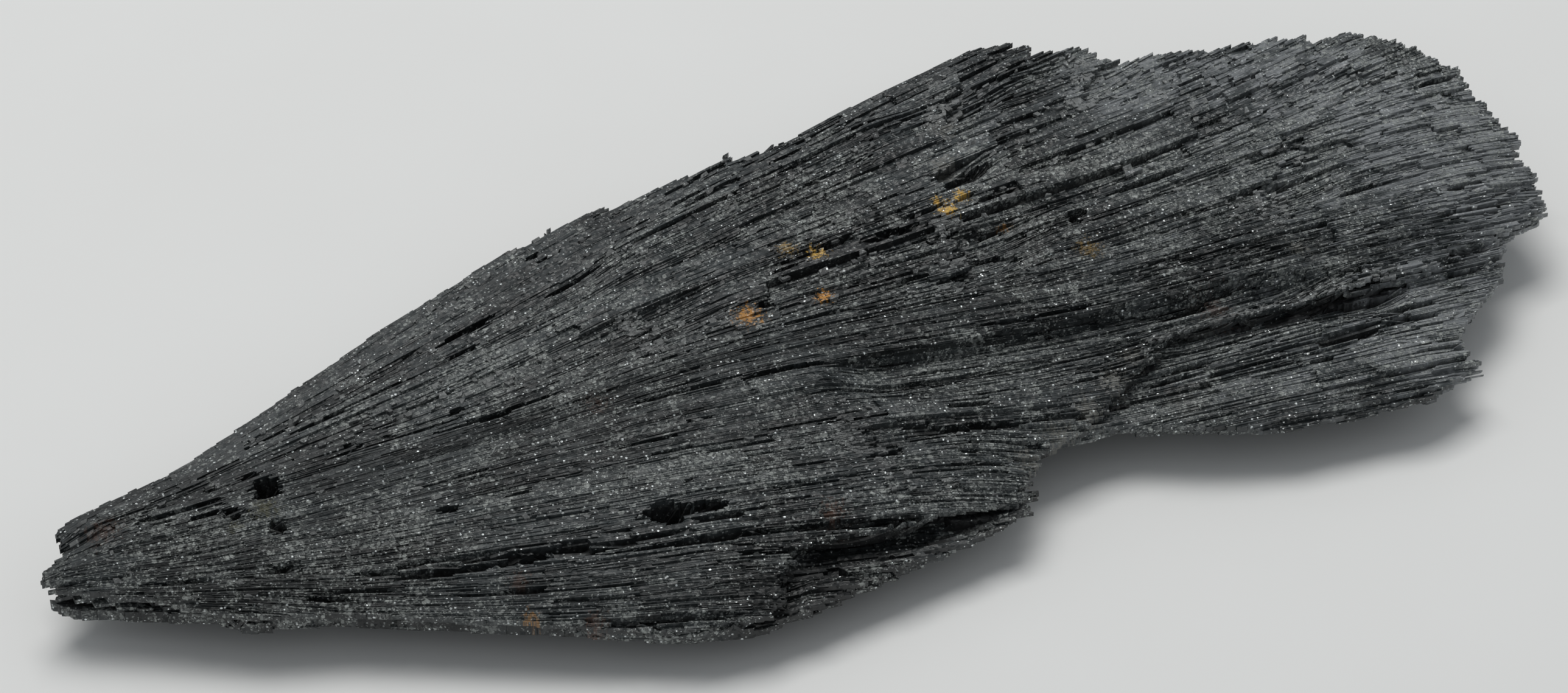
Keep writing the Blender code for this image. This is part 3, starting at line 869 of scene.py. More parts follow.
def calc(tree, operation, *values):
    """The result of a Math node."""
    return add(tree, "Math", dict(enumerate(values)), operation=operation).outputs[0]


def stretch(tree, vector, scale):
    """A vector with each axis multiplied by its own number."""
    return add(tree, "VectorMath", {0: vector, 1: scale}, operation="MULTIPLY").outputs[0]


def noise(tree, vector, scale, detail=3.0, roughness=0.55):
    """Smooth noise from 0 to 1, with its middle at 0.5."""
    links = {"Vector": vector, "Scale": scale, "Detail": detail, "Roughness": roughness}
    return add(tree, "TexNoise", links).outputs["Fac"]


def between(tree, value, low, high):
    """0 where the value is below low, 1 above high, and smooth between them."""
    links = {"Value": value, "From Min": low, "From Max": high}
    return add(tree, "MapRange", links, interpolation_type="SMOOTHSTEP").outputs["Result"]


def blend(tree, share, first, second):
    """A mix of two colours."""
    node = add(tree, "Mix", {0: share, 6: first, 7: second}, data_type="RGBA")
    return node.outputs[2]


# %% Sums, weights and placed groups
def weighted(tree, value, weight, middle=None):
    """A value times a weight. With a middle, the value is first measured from there."""
    if middle is not None:
        value = calc(tree, "SUBTRACT", value, middle)
    return calc(tree, "MULTIPLY", value, weight)


def plus(tree, first, value, weight, middle=None):
    """The first value plus a weighted one."""
    return calc(tree, "ADD", first, weighted(tree, value, weight, middle))


def placed(tree, group, links):
    """A node group placed in a material, with values of its own. Returns its outputs."""
    node = tree.nodes.new("ShaderNodeGroup")
    node.node_tree = group
    for key, value in links.items():
        if isinstance(value, bpy.types.NodeSocket):
            tree.links.new(value, node.inputs[key])
        else:
            node.inputs[key].default_value = value
    return node.outputs


# %% Fibre grain
GRAIN, entry, leave = node_group(
    "fibre grain",
    [("Flow", "Vector", None), ("Fineness", "Float", 1.0)],
    [("Streak", "Float"), ("Height", "Float")],
)
# Changes of the noise to a millimetre along the growth and across it, and from lath to lath.
BROAD_LINES, FINE_LINES, HAIR_LINES = (0.22, 2.6, 9.0), (0.30, 9.0, 20.0), (0.9, 22.0, 30.0)
sized = add(GRAIN, "VectorMath", {0: entry.outputs["Flow"], "Scale": entry.outputs["Fineness"]},
            operation="SCALE").outputs[0]
broad = noise(GRAIN, stretch(GRAIN, sized, BROAD_LINES), 1.0, 2.0)
fine = noise(GRAIN, stretch(GRAIN, sized, FINE_LINES), 1.0, 3.0, 0.65)
hairs = noise(GRAIN, stretch(GRAIN, sized, HAIR_LINES), 1.0, 2.0, 0.6)
streak = between(GRAIN, plus(GRAIN, weighted(GRAIN, broad, 0.5), fine, 0.5), 0.36, 0.64)
height = plus(GRAIN, weighted(GRAIN, fine, 0.65), hairs, 0.35)
GRAIN.links.new(streak, leave.inputs["Streak"])
GRAIN.links.new(height, leave.inputs["Height"])
print("fibre grain draws about", round(HAIR_LINES[1]), "lines to a millimetre at its finest")

# %% [markdown]
# ## Bruises
# Where the stone has been knocked or weathered, the fibres are crushed into pale crumbs a quarter
# of a millimetre across. They lie close together in ragged patches and thin out between them.
# Two Voronoi patterns make coarse and fine crumbs: a cell holds one where its random number is
# below the crowding at that place, and broad noise gives the crowding.

# %% Bruises
BRUISES, entry, leave = node_group(
    "bruises",
    [("Position", "Vector", None), ("Flow", "Vector", None), ("Amount", "Float", 0.5)],
    [("Mask", "Float"), ("Height", "Float")],
)
place = stretch(BRUISES, entry.outputs["Position"], IN_MM)
patch = noise(BRUISES, place, 0.34, 5.0, 0.68)
broad = noise(BRUISES, place, 0.11, 2.0, 0.5)
along = noise(BRUISES, stretch(BRUISES, entry.outputs["Flow"], (0.45, 1.8, 1.0)), 1.0, 4.0, 0.62)
mixed = plus(BRUISES, weighted(BRUISES, patch, 0.6), along, 0.4)
mixed = plus(BRUISES, mixed, broad, 0.35, middle=0.5)
mixed = plus(BRUISES, mixed, entry.outputs["Amount"], 0.3)
crowding = between(BRUISES, mixed, 0.59, 0.73)

# %% Crumbs of the bruises
# Crumbs to a millimetre, and the share of cells that hold one where they are fewest and most.
CRUMBS = ((2.6, 0.0, 0.80), (6.0, 0.06, 0.90))
jitter = add(BRUISES, "TexNoise", {"Vector": place, "Scale": 2.5, "Detail": 2.0}).outputs["Color"]
bent = add(BRUISES, "VectorMath", {0: jitter, "Scale": 0.5}, operation="SCALE").outputs[0]
bent = add(BRUISES, "VectorMath", {0: place, 1: bent}, operation="ADD").outputs[0]
mask, raised = None, None
for per_mm, fewest, most in CRUMBS:
    cells = add(BRUISES, "TexVoronoi", {"Vector": bent, "Scale": per_mm, "Randomness": 1.0})
    channels = add(BRUISES, "SeparateColor", {0: cells.outputs["Color"]})
    share = add(BRUISES, "MapRange", {"Value": crowding, "To Min": fewest, "To Max": most}).outputs["Result"]
    there = calc(BRUISES, "LESS_THAN", channels.outputs["Red"], share)
    there = calc(BRUISES, "MULTIPLY", there, between(BRUISES, cells.outputs["Distance"], 0.62, 0.40))
    tone = calc(BRUISES, "ADD", 0.10, calc(BRUISES, "POWER", channels.outputs["Green"], 1.9))
    crumb = calc(BRUISES, "MULTIPLY", there, tone)
    lump = calc(BRUISES, "DIVIDE", crumb, per_mm)
    mask = crumb if mask is None else calc(BRUISES, "MAXIMUM", mask, crumb)
    raised = lump if raised is None else calc(BRUISES, "ADD", raised, lump)
BRUISES.links.new(mask, leave.inputs["Mask"])
BRUISES.links.new(raised, leave.inputs["Height"])
print("bruises are made by", len(BRUISES.nodes), "nodes")

# %% [markdown]
# ## Glints
# The whole fan is peppered with specks of light, where a tiny cleavage face happens to point
# the right way. A Voronoi pattern gives each speck a cell of its own. Its random colour decides
# whether the cell has a speck, how bright it is, and which way its face is turned. The turned,
# half metallic face is real, and the materials also paint each speck nearly white: a painted glint.

# %% Glints
GLINTS, entry, leave = node_group(
    "glints",
    [("Position", "Vector", None), ("Cells per mm", "Float", 2.4), ("Share", "Float", 0.4),
     ("Turn", "Float", 0.5)],
    [("Mask", "Float"), ("Normal", "Vector")],
)
place = stretch(GLINTS, entry.outputs["Position"], IN_MM)
cells = add(GLINTS, "TexVoronoi",
            {"Vector": place, "Scale": entry.outputs["Cells per mm"], "Randomness": 1.0})
channels = add(GLINTS, "SeparateColor", {0: cells.outputs["Color"]})
reach = calc(GLINTS, "MULTIPLY", channels.outputs["Green"], 0.26)
near = calc(GLINTS, "LESS_THAN", cells.outputs["Distance"], calc(GLINTS, "ADD", reach, 0.08))
picked = calc(GLINTS, "LESS_THAN", channels.outputs["Red"], entry.outputs["Share"])
bright = calc(GLINTS, "POWER", channels.outputs["Blue"], 1.8)
mask = calc(GLINTS, "MULTIPLY", calc(GLINTS, "MULTIPLY", near, picked), bright)
turned = add(GLINTS, "VectorMath", {0: cells.outputs["Color"], 1: (0.5, 0.5, 0.5)}, operation="SUBTRACT")
turned = add(GLINTS, "VectorMath", {0: turned.outputs[0], "Scale": entry.outputs["Turn"]}, operation="SCALE")
straight = add(GLINTS, "NewGeometry").outputs["Normal"]
facing = add(GLINTS, "VectorMath", {0: straight, 1: turned.outputs[0]}, operation="ADD")
facing = add(GLINTS, "VectorMath", {0: facing.outputs[0]}, operation="NORMALIZE")
GLINTS.links.new(mask, leave.inputs["Mask"])
GLINTS.links.new(facing.outputs[0], leave.inputs["Normal"])
print("glints are made by", len(GLINTS.nodes), "nodes")

# %% [markdown]
# ## Rust, ochre and dust
# Iron has stained a few spots between the blades: bright ochre crumbs near the middle, brown
# and reddish films toward the root, and an olive rim round the largest hole. Pale stone dust
# clings to the crumbled ridge beside the lobe and to a few broken flakes. Each spot has a place
# on the fan, a reach and a colour. Noise eats into its border, so it never looks round.

# %% Places of the stains
OCHRE, ORANGE, RUST = (0.62, 0.38, 0.07), (0.55, 0.26, 0.05), (0.20, 0.085, 0.045)
OLIVE, DUST = (0.10, 0.095, 0.04), (0.17, 0.17, 0.155)

# Middle in mm, reach in mm, strength, colour.
STAINS = [
    (15.7, 13.1, 1.0, 1.0, OCHRE), (17.2, 14.2, 0.8, 1.0, OCHRE), (15.2, 14.4, 0.6, 0.8, OCHRE),
    (4.2, 12.3, 0.9, 0.9, OCHRE), (2.8, 7.5, 0.8, 1.0, ORANGE), (-3.5, 7.3, 1.3, 0.8, ORANGE),
    (2.2, 13.6, 1.0, 0.35, OCHRE), (19.3, 10.2, 0.6, 0.45, ORANGE), (24.0, 5.1, 1.2, 0.25, OCHRE),
    (-46.0, 1.1, 0.8, 0.4, OLIVE), (-43.5, 1.8, 1.2, 0.5, OLIVE), (-28.6, -13.6, 0.7, 0.45, ORANGE),
    (-28.3, -10.8, 1.0, 0.2, RUST), (-24.3, -15.5, 0.9, 0.3, RUST), (-4.9, -12.9, 1.2, 0.3, RUST),
    (31.0, -2.8, 1.6, 0.25, RUST), (-17.6, 2.4, 1.2, 0.15, RUST), (-54.9, 4.5, 1.6, 0.2, RUST),
    (11.4, -12.0, 1.6, 0.85, DUST), (14.6, -10.2, 1.5, 0.85, DUST), (17.6, -8.9, 1.4, 0.80, DUST),
    (20.4, -7.2, 1.3, 0.80, DUST), (22.6, -5.4, 1.2, 0.70, DUST), (17.5, 18.4, 1.6, 0.70, DUST),
    (19.6, 22.6, 1.5, 0.60, DUST), (39.9, 0.3, 1.1, 0.80, DUST), (25.3, -10.1, 2.4, 0.22, DUST),
]
print("stains:", len(STAINS), "spots, of them", sum(spot[4] == DUST for spot in STAINS), "of dust")


# %% Stains
def from_spot(tree, place, x, y):
    """The distance in mm from a spot on the fan, seen from above."""
    spot = (x - BOX_MIDDLE[0], y - BOX_MIDDLE[1], 0.0)
    return add(tree, "VectorMath", {0: place, 1: spot}, operation="DISTANCE").outputs["Value"]


STAIN, entry, leave = node_group(
    "stains", [("Position", "Vector", None), ("Color", "Color", (0.05, 0.05, 0.05, 1.0))],
    [("Color", "Color")],
)
place = stretch(STAIN, entry.outputs["Position"], FLAT_IN_MM)
crumbs = noise(STAIN, place, 2.8, 5.0, 0.8)
normal = add(STAIN, "SeparateXYZ", {0: add(STAIN, "NewGeometry").outputs["Normal"]})
upward = between(STAIN, normal.outputs["Z"], -0.4, 0.0)
colour = entry.outputs["Color"]
for x, y, reach, strength, tone in STAINS:
    distance = from_spot(STAIN, place, x, y)
    inward = calc(STAIN, "SUBTRACT", 1.15, calc(STAIN, "DIVIDE", distance, reach))
    eaten = between(STAIN, plus(STAIN, inward, crumbs, 6.0, middle=0.5), 0.45, 0.85)
    share = calc(STAIN, "MULTIPLY", eaten, weighted(STAIN, upward, strength))
    share = calc(STAIN, "MULTIPLY", share, between(STAIN, distance, 2.4 * reach, 1.2 * reach))
    colour = blend(STAIN, share, colour, (*tone, 1.0))
STAIN.links.new(colour, leave.inputs["Color"])
print("stains are made by", len(STAIN.nodes), "nodes")

# %% [markdown]
# ## Painted sheen and shade in patches
# Some stretches a centimetre across are painted lighter and others darker: the lighter ones are
# painted sheen where the stone catches the light, the darker ones painted shade. Each patch has a
# middle, a reach and an amount, and they only add up to one number, which the materials use to
# shift their tone.

# %% Patches of painted sheen and shade
# Middle in mm, reach in mm, amount.
SHEEN_AND_SHADE_PATCHES = [
    (57.0, 8.0, 11.0, 0.80), (58.0, -1.0, 7.0, 0.60), (50.0, 20.0, 10.0, 0.40), (36.0, 24.0, 9.0, 0.45),
    (-50.0, 4.0, 8.0, -0.15), (-36.0, 7.0, 7.0, -0.10), (-12.0, -9.0, 8.0, 0.10), (14.0, -9.0, 8.0, 0.20),
    (24.0, 11.0, 9.0, -0.40), (6.0, 14.0, 11.0, -0.50), (12.0, 21.0, 6.0, -0.15), (38.0, -12.0, 13.0, 0.05),
    (-38.0, -7.0, 9.0, -0.35), (-18.0, 4.0, 8.0, -0.20), (34.0, 3.0, 8.0, -0.25), (19.0, 4.0, 6.0, -0.30),
    (-49.0, -3.0, 7.0, -0.35), (-8.0, -20.0, 11.0, -0.60), (49.0, -10.0, 10.0, 0.60),
]

SHEEN_AND_SHADE, entry, leave = node_group("patches", [("Position", "Vector", None)], [("Amount", "Float")])
place = stretch(SHEEN_AND_SHADE, entry.outputs["Position"], FLAT_IN_MM)
total = None
for x, y, reach, amount in SHEEN_AND_SHADE_PATCHES:
    share = weighted(SHEEN_AND_SHADE, between(SHEEN_AND_SHADE, from_spot(SHEEN_AND_SHADE, place, x, y), reach, 0.3 * reach), amount)
    total = share if total is None else calc(SHEEN_AND_SHADE, "ADD", total, share)
SHEEN_AND_SHADE.links.new(total, leave.inputs["Amount"])
print("patches:", len(SHEEN_AND_SHADE_PATCHES))

# %% [markdown]
# ## Tone and painted sheen
# Every finish runs from a dark to a light colour. The streaks of the grain, the tint of the
# lath, cloudy noise and the patches of painted sheen and shade decide where a place lies between
# them. Toward the wide edge the stone is painted paler, and silvery in places: painted sheen
# where that end catches the light. It is also more bruised there, because that end is thin and
# has been knocked the most. The far flank is darker and sounder. All this is one group with
# three numbers.

# %% Tone and painted sheen
TONE, entry, leave = node_group(
    "tone of the stone",
    [("Position", "Vector", None), ("Flow", "Vector", None), ("Streak", "Float", 0.5),
     ("Patch", "Float", 0.0)],
    [("Tone", "Float"), ("Painted sheen", "Float"), ("Wear", "Float")],
)
streak, patch = entry.outputs["Streak"], entry.outputs["Patch"]
parts = add(TONE, "SeparateXYZ", {0: entry.outputs["Flow"]})
own = parts.outputs["Z"]
wide_end = between(TONE, parts.outputs["X"], 70.0, 122.0)
far_flank = between(TONE, parts.outputs["Y"], 22.0, 34.0)
cloudy = noise(TONE, stretch(TONE, entry.outputs["Position"], IN_MM), 0.20, 4.0, 0.7)
tone = plus(TONE, weighted(TONE, streak, 0.4), own, 0.6)
# Painted sheen: the wide end is painted lighter.
tone = plus(TONE, tone, wide_end, 0.30)
tone = plus(TONE, tone, far_flank, -0.15)
tone = plus(TONE, tone, cloudy, 2.0, middle=0.5)
# Painted sheen and shade from the patches.
tone = calc(TONE, "ADD", tone, patch)
patchy = noise(TONE, stretch(TONE, entry.outputs["Flow"], (0.30, 0.9, 1.6)), 1.0, 4.0, 0.65)
patchy = plus(TONE, patchy, patch, 0.2)
# Painted sheen: silvery patches at the wide end, where the tone is light.
painted_sheen = calc(TONE, "MULTIPLY", wide_end, between(TONE, patchy, 0.48, 0.62))
painted_sheen = calc(TONE, "MULTIPLY", painted_sheen, between(TONE, tone, 0.2, 1.0))
painted_sheen = calc(TONE, "MULTIPLY", painted_sheen, calc(TONE, "ADD", 0.35, weighted(TONE, streak, 0.65)))
wear = plus(TONE, weighted(TONE, wide_end, 0.06), own, 0.3, middle=0.5)
wear = plus(TONE, wear, far_flank, -0.2)
for name, value in (("Tone", tone), ("Painted sheen", painted_sheen), ("Wear", wear)):
    TONE.links.new(value, leave.inputs[name])
print("tone and silver are made by", len(TONE.nodes), "nodes")

# %% [markdown]
# ## The four finishes
# Sound fibres are dark and half glossy. Crushed chips are paler and duller, and a few blades have
# a polished face, painted pale and silvery as painted sheen. The stone deep inside the fan is
# painted almost black, as painted shade at the floors of holes and slots. All four share the
# groups above with values of their own, so they stay one mineral. The colour is laid on in
# layers: its own tone first, then painted sheen, crumbs, stains and painted glints, and last the
# painted shade deep in the slots, which swallows all of them.

# %% Colour and roughness
# Colours of the painted sheen, the painted glints and the painted shade deep in the slots.
PAINTED_SHEEN, PAINTED_GLINT, SHADE = (0.25, 0.264, 0.276, 1.0), (0.95, 1.0, 1.0, 1.0), (0.004, 0.004, 0.004, 1.0)


def stone_colour(tree, masks, dark, light, pale):
    """From dark to light by tone, then everything that lies over it."""
    colour = blend(tree, masks["tone"], (*dark, 1.0), (*light, 1.0))
    colour = blend(tree, masks["painted_sheen"], colour, PAINTED_SHEEN)
    colour = blend(tree, masks["crumbs"], colour, (*pale, 1.0))
    colour = placed(tree, STAIN, {"Position": masks["position"], "Color": colour})["Color"]
    # Painted glint: specks are painted nearly white.
    colour = blend(tree, masks["glints"], colour, PAINTED_GLINT)
    # Last the painted shade: deep corners are darkened toward SHADE.
    return blend(tree, weighted(tree, masks["crevice_shade"], 0.78), colour, SHADE)


def stone_roughness(tree, masks, gloss):
    """Crumbs, dark streaks and crevices are rougher, and glints and the painted sheen are smoother."""
    rough = plus(tree, gloss, masks["crumbs"], 0.15)
    rough = plus(tree, rough, masks["streak"], 0.12, middle=0.5)
    rough = plus(tree, rough, masks["glints"], -0.2)
    rough = plus(tree, rough, masks["painted_sheen"], -0.10)
    return plus(tree, rough, masks["crevice_shade"], 0.4)


print("silver faces are", round(PAINTED_SHEEN[1] / SHADE[1]), "times as bright as the shade of a slot")


# %% Finishes
IOR = 1.55
GLINTS_PER_MM, GLINT_TURN = 3.4, 0.6
RELIEF_DEPTH = 0.00006


def kyanite(name, dark, light, pale, bruised, glinting, gloss, relief):
    """One finish: three colours, how bruised it is, its glints, its roughness and its relief."""
    material = bpy.data.materials.new(name)
    material.use_nodes = True
    tree = material.node_tree
    shader = tree.nodes["Principled BSDF"]
    shader.inputs["IOR"].default_value = IOR
    place = add(tree, "TexCoord").outputs["Object"]
    flow = add(tree, "Attribute", attribute_name="flow", attribute_type="GEOMETRY").outputs["Vector"]
    depth = add(tree, "Attribute", attribute_name="buried", attribute_type="GEOMETRY").outputs["Fac"]
    # Painted shade: the deeper a corner lies below the surface, the darker it is painted.
    crevice_shade = between(tree, depth, 0.12, 0.8)
    patch = placed(tree, SHEEN_AND_SHADE, {"Position": place})["Amount"]
    grain = placed(tree, GRAIN, {"Flow": flow, "Fineness": 1.0})
    stone = placed(tree, TONE, {"Position": place, "Flow": flow, "Streak": grain["Streak"],
                                "Patch": patch})
    amount = calc(tree, "ADD", bruised, stone["Wear"])
    crushed = placed(tree, BRUISES, {"Position": place, "Flow": flow, "Amount": amount})
    glints = placed(tree, GLINTS, {"Position": place, "Cells per mm": GLINTS_PER_MM,
                                   "Share": glinting, "Turn": GLINT_TURN})
    masks = {"position": place, "tone": stone["Tone"], "painted_sheen": stone["Painted sheen"],
             "crumbs": crushed["Mask"], "glints": glints["Mask"], "streak": grain["Streak"],
             "crevice_shade": crevice_shade}
    metal = calc(tree, "MULTIPLY", glints["Mask"], calc(tree, "SUBTRACT", 0.8, crevice_shade))
    height = plus(tree, grain["Height"], crushed["Height"], 4.0)
    bump = add(tree, "Bump", {"Height": height, "Strength": relief, "Distance": RELIEF_DEPTH,
                              "Normal": glints["Normal"]})
    tree.links.new(stone_colour(tree, masks, dark, light, pale), shader.inputs["Base Color"])
    tree.links.new(metal, shader.inputs["Metallic"])
    tree.links.new(stone_roughness(tree, masks, gloss), shader.inputs["Roughness"])
    tree.links.new(bump.outputs["Normal"], shader.inputs["Normal"])
    MATERIALS[name] = material
    print(name, "uses", len(tree.nodes), "nodes")


kyanite("kyanite fibres", (0.0070, 0.0088, 0.0094), (0.044, 0.0520, 0.0545), (0.34, 0.36, 0.345),
        bruised=0.44, glinting=0.52, gloss=0.37, relief=0.7)
kyanite("crushed kyanite", (0.040, 0.042, 0.043), (0.125, 0.132, 0.132), (0.27, 0.28, 0.275),
        bruised=0.75, glinting=0.6, gloss=0.55, relief=0.8)
# Painted sheen: the polished blades are painted paler than the fibres.
kyanite("polished kyanite", (0.05, 0.053, 0.056), (0.17, 0.18, 0.185), (0.4, 0.4, 0.4),
        bruised=0.10, glinting=0.3, gloss=0.22, relief=0.5)
# Painted shade: the inner stone is darker than the fibres, for the floors of holes and slots.
kyanite("inner kyanite", (0.006, 0.0065, 0.007), (0.016, 0.017, 0.018), (0.04, 0.042, 0.043),
        bruised=0.20, glinting=0.2, gloss=0.55, relief=0.6)

# %% [markdown]
# ## Building the fan
# Each sheet is laid with its own laths. Away from edges the skirts of the laths are long. Near an
# edge or a ledge the laths are thin, and further layers lie below them, each broken at places of
# its own: that is how the rim gets its pages-of-a-book look.


# %% Tops and skirts
DEEP = distance_grid([item[:2] for item in GROOVES if item[3] > DEEP_GROOVE])
TOP["step"] = np.minimum(TOP["edge"], distance_grid([item[:2] for item in LEDGES + SHELVES]))
for sheet in (LOBE, SHORT):
    sheet["step"] = sheet["edge"]
THIN, LONG = 0.40, 2.2  # the shortest and the longest skirt, in mm


def top_of(sheet, lowered=0.0):
    """A surface function for lath_object: the top of a sheet with its steps."""
    def surface(x, y, slope, centre_x, centre_y):
        height = top_surface(x, y, sheet) - lowered
        if sheet["steps"]:
            height = height - named_drop(x, y, slope, centre_x, centre_y)
        return np.maximum(height, under_surface(x, y, sheet) + LEAST_STONE)
    return surface


def skirt_of(sheet):
    """Thin laths close to a step, long skirts elsewhere."""
    def depth(x, y, base):
        return np.clip(THIN + 0.8 * (look_up(sheet["step"], x, y) - 1.2), THIN, LONG)
    return depth


def even(depth):
    """A skirt of the same depth everywhere."""
    return lambda x, y, base: depth + 0.0 * x


print("share of the top sheet with thin laths:",
      round(float((TOP["step"][TOP["inside"]] < 1.2).mean()), 2))

# %% [markdown]
# ## The top sheet
# This is nearly all of what the eye meets. It could be one mesh, but it is built in three parts,
# split along two blades, so that no single mesh grows too heavy to export.

# %% Top sheet
SEED = 2026
MIDDLE_FROM, FAR_FROM = 0.03, 0.185  # slopes of the two blades between the parts
rng = random.Random(SEED)
far_rows = lay_laths(TOP["inside"], (FAR_FROM, LAST_SLOPE), rng)
middle_rows = lay_laths(TOP["inside"], (MIDDLE_FROM, FAR_FROM), rng)
near_rows = lay_laths(TOP["inside"], (-LAST_SLOPE, MIDDLE_FROM), rng, fibre=0.18)
for name, rows in (("far_blades", far_rows), ("middle_blades", middle_rows), ("near_blades", near_rows)):
    lath_object(name, rows, top_of(TOP), skirt_of(TOP))

# %% [markdown]
# ## The lobe and the short layer
# The lobe is a lower sheet that shows where the top one has crumbled away. Its fibres are longer
# and sounder. The short layer near the root is coarse and broken, so its laths are twice as wide
# and stand at very different heights. It lies in shade, and their darker tint is painted shade.

# %% Lobe and short layer
# Painted shade: a darker tint for the laths of the short layer.
SHORT_SHADE = -0.35
lobe_rows = lay_laths(LOBE["inside"], (-0.3, 0.08), rng, shape=34.0, slots=0.07)
lath_object("lobe_blades", lobe_rows, top_of(LOBE), skirt_of(LOBE))
short_rows = lay_laths(SHORT["inside"], (-LAST_SLOPE, -0.05), rng, fibre=0.38, shape=13.0, relief=3.2,
                       steps=False, slots=0.25, teeth=1.5)
short_rows[:, TINT] += SHORT_SHADE
lath_object("short_blades", short_rows, top_of(SHORT), skirt_of(SHORT))

# %% [markdown]
# ## Polished blades
# A dozen blades of the wide end catch the light like small mirrors, each at its own place. A
# mask in the material could not give them straight edges, so they are laths of their own, laid a
# tenth of a millimetre above the others and tipped a little. They are glossy, and painted paler
# than the fibres: the paler colour is painted sheen.

# %% Polished blades
# Start and end in mm, width in mm.
POLISHED = [
    ((56.4, -1.5), (58.6, -1.5), 0.75), ((53.6, 0.1), (57.6, 0.5), 0.30),
    ((54.4, 0.9), (58.0, 1.1), 0.22), ((46.4, -3.9), (48.6, -4.0), 0.34),
    ((35.0, 7.7), (36.2, 7.6), 0.50), ((36.0, 7.1), (37.0, 7.1), 0.35),
    ((53.0, 20.0), (55.4, 20.4), 0.30), ((46.5, 21.0), (48.6, 21.4), 0.30),
    ((50.0, 12.6), (52.2, 12.8), 0.28), ((41.5, 9.6), (43.5, 9.7), 0.26),
    ((57.0, 5.4), (58.8, 5.6), 0.26), ((30.4, 12.0), (32.0, 12.3), 0.24),
]
RAISED, TIPPED = 0.10, 0.25
bright_rows = []
for (x0, y0), (x1, y1), width in POLISHED:
    slope = slope_at((x0 + x1) / 2, (y0 + y1) / 2)
    half = width / 2 / (x0 - AIM_X)
    bright_rows.append((slope - half, slope + half, x0, x1, RAISED, TIPPED, 0.0, 1.0,
                        0.0, x0, x1 + 1.0, 0.6, -0.4))
lath_object("polished_blades", np.array(bright_rows), top_of(TOP), even(0.5), material="polished kyanite")

# %% [markdown]
# ## Loose chips
# Crushed chips lie thickest along the crumbled edge over the lobe, thinner beside the ledges, and
# here and there on the rest. A grid of weights says how likely a chip is in each cell. None lies
# in a groove, or the grooves would no longer look black.

# %% Chip rows
def chip_rows(weight, count, size, rng):
    """Short, tilted laths scattered where the weight is high."""
    chances = (weight / weight.sum()).ravel()
    chosen = np.random.default_rng(5).choice(weight.size, count, p=chances)
    rows = []
    for x, y in zip(CELL_X.ravel()[chosen].tolist(), CELL_Y.ravel()[chosen].tolist()):
        slope, reach = slope_at(x, y), x - AIM_X
        wide, long = size * rng.uniform(0.3, 1.0), size * rng.uniform(0.5, 1.8)
        rows.append((slope - wide / 2 / reach, slope + wide / 2 / reach, x - long / 2, x + long / 2,
                     rng.uniform(0.02, 0.12), rng.gauss(0.0, 0.30), rng.gauss(0.0, 0.12), rng.random(), 0.0,
                     x, x + 1.0, rng.uniform(-1.0, 1.0), rng.uniform(-1.0, 1.0)))
    return np.array(rows)


notch = (CELL_X > 10.0) & (CELL_X < 25.0) & (CELL_Y < -4.0)
crumbled = (UNDERCUT < 1.3) * (CELL_X > 10.0) * 1.0 + (UNDERCUT < 1.8) * notch * 2.0
beside_ledges = distance_grid([item[:2] for item in LEDGES]) < 1.2
clear = (distance_grid([item[:2] for item in GROOVES]) > 0.6) & (DEEP > 1.6)
weight = TOP["inside"] * clear * (RIM_DISTANCE > 0.5) * (crumbled + 1.2 * beside_ledges + 0.05)
print("share of the chips along the crumbled edge:",
      round(float(weight[crumbled > 0.0].sum() / weight.sum()), 2))

# %% Loose chips
CHIP_COUNT, CHIP_SIZE = 2600, 0.42
chips = chip_rows(weight, CHIP_COUNT, CHIP_SIZE, rng)
lath_object("chips", chips, top_of(TOP), even(0.25), material="crushed kyanite")

# %% [markdown]
# ## Layers under the edges
# Below the thin laths of each edge and ledge lie more thin laths, one layer under the other. Each
# layer is a little coarser and keeps back a different way from the edge, so the steps between
# them are uneven. The root is the thickest part of the rim and gets two layers more.

# %% Layers under the edges
LAYER = 0.42  # from one layer down to the next, in mm
SET_BACK = (0.35, 0.8, 1.1, 1.0, 0.8)  # how far each layer keeps back from the edge
ROOT_PART = CELL_X < -36.0
for sheet in (TOP, LOBE, SHORT):
    for number, set_back in enumerate(SET_BACK[:sheet["layers"]], 1):
        band = sheet["inside"] & (sheet["step"] < 1.9 + set_back) & (sheet["edge"] > set_back)
        if sheet is TOP:
            band &= UNDERCUT > 1.4
        if number > 3:
            band &= ROOT_PART
        rows = lay_laths(band, WHOLE_FAN, rng, fibre=0.25 + 0.09 * number, relief=0.8,
                         steps=sheet is not SHORT, slots=0.0, teeth=0.9)
        lath_object(f"layer_{number}_{sheet['name']}", rows, top_of(sheet, LAYER * number), even(0.36))

# %% [markdown]
# ## The underside
# Nobody sees much of it, and the photograph shows none of it. It is laid like the top, upside
# down and with laths more than twice as wide. It is one sheet, because the lower layers end in it.


# %% Underside
def under_of(sheet):
    """A surface function for lath_object: the even underside of a sheet."""
    def surface(x, y, slope, centre_x, centre_y):
        return under_surface(x, y, sheet)
    return surface


under_rows = lay_laths(WITHIN & (RIM_DISTANCE > 0.7), WHOLE_FAN, rng, fibre=0.42, shape=16.0,
                       slots=0.08, steps=False)
under_rows[:, LIFT] = -under_rows[:, LIFT]
lath_object("underside_blades", under_rows, under_of(TOP), even(1.0), facing=-1)

# %% [markdown]
# ## The inner stone
# Between the top and the underside the fan would be hollow, and light would fall through the
# slots. Coarse laths fill it, painted nearly black, darker than the fibres: where they show at the
# floor of a hole, this is painted shade. They keep well below the top, deeper under the grooves,
# and back from the rim. This piece stands in for the imported solid, which it replaces.


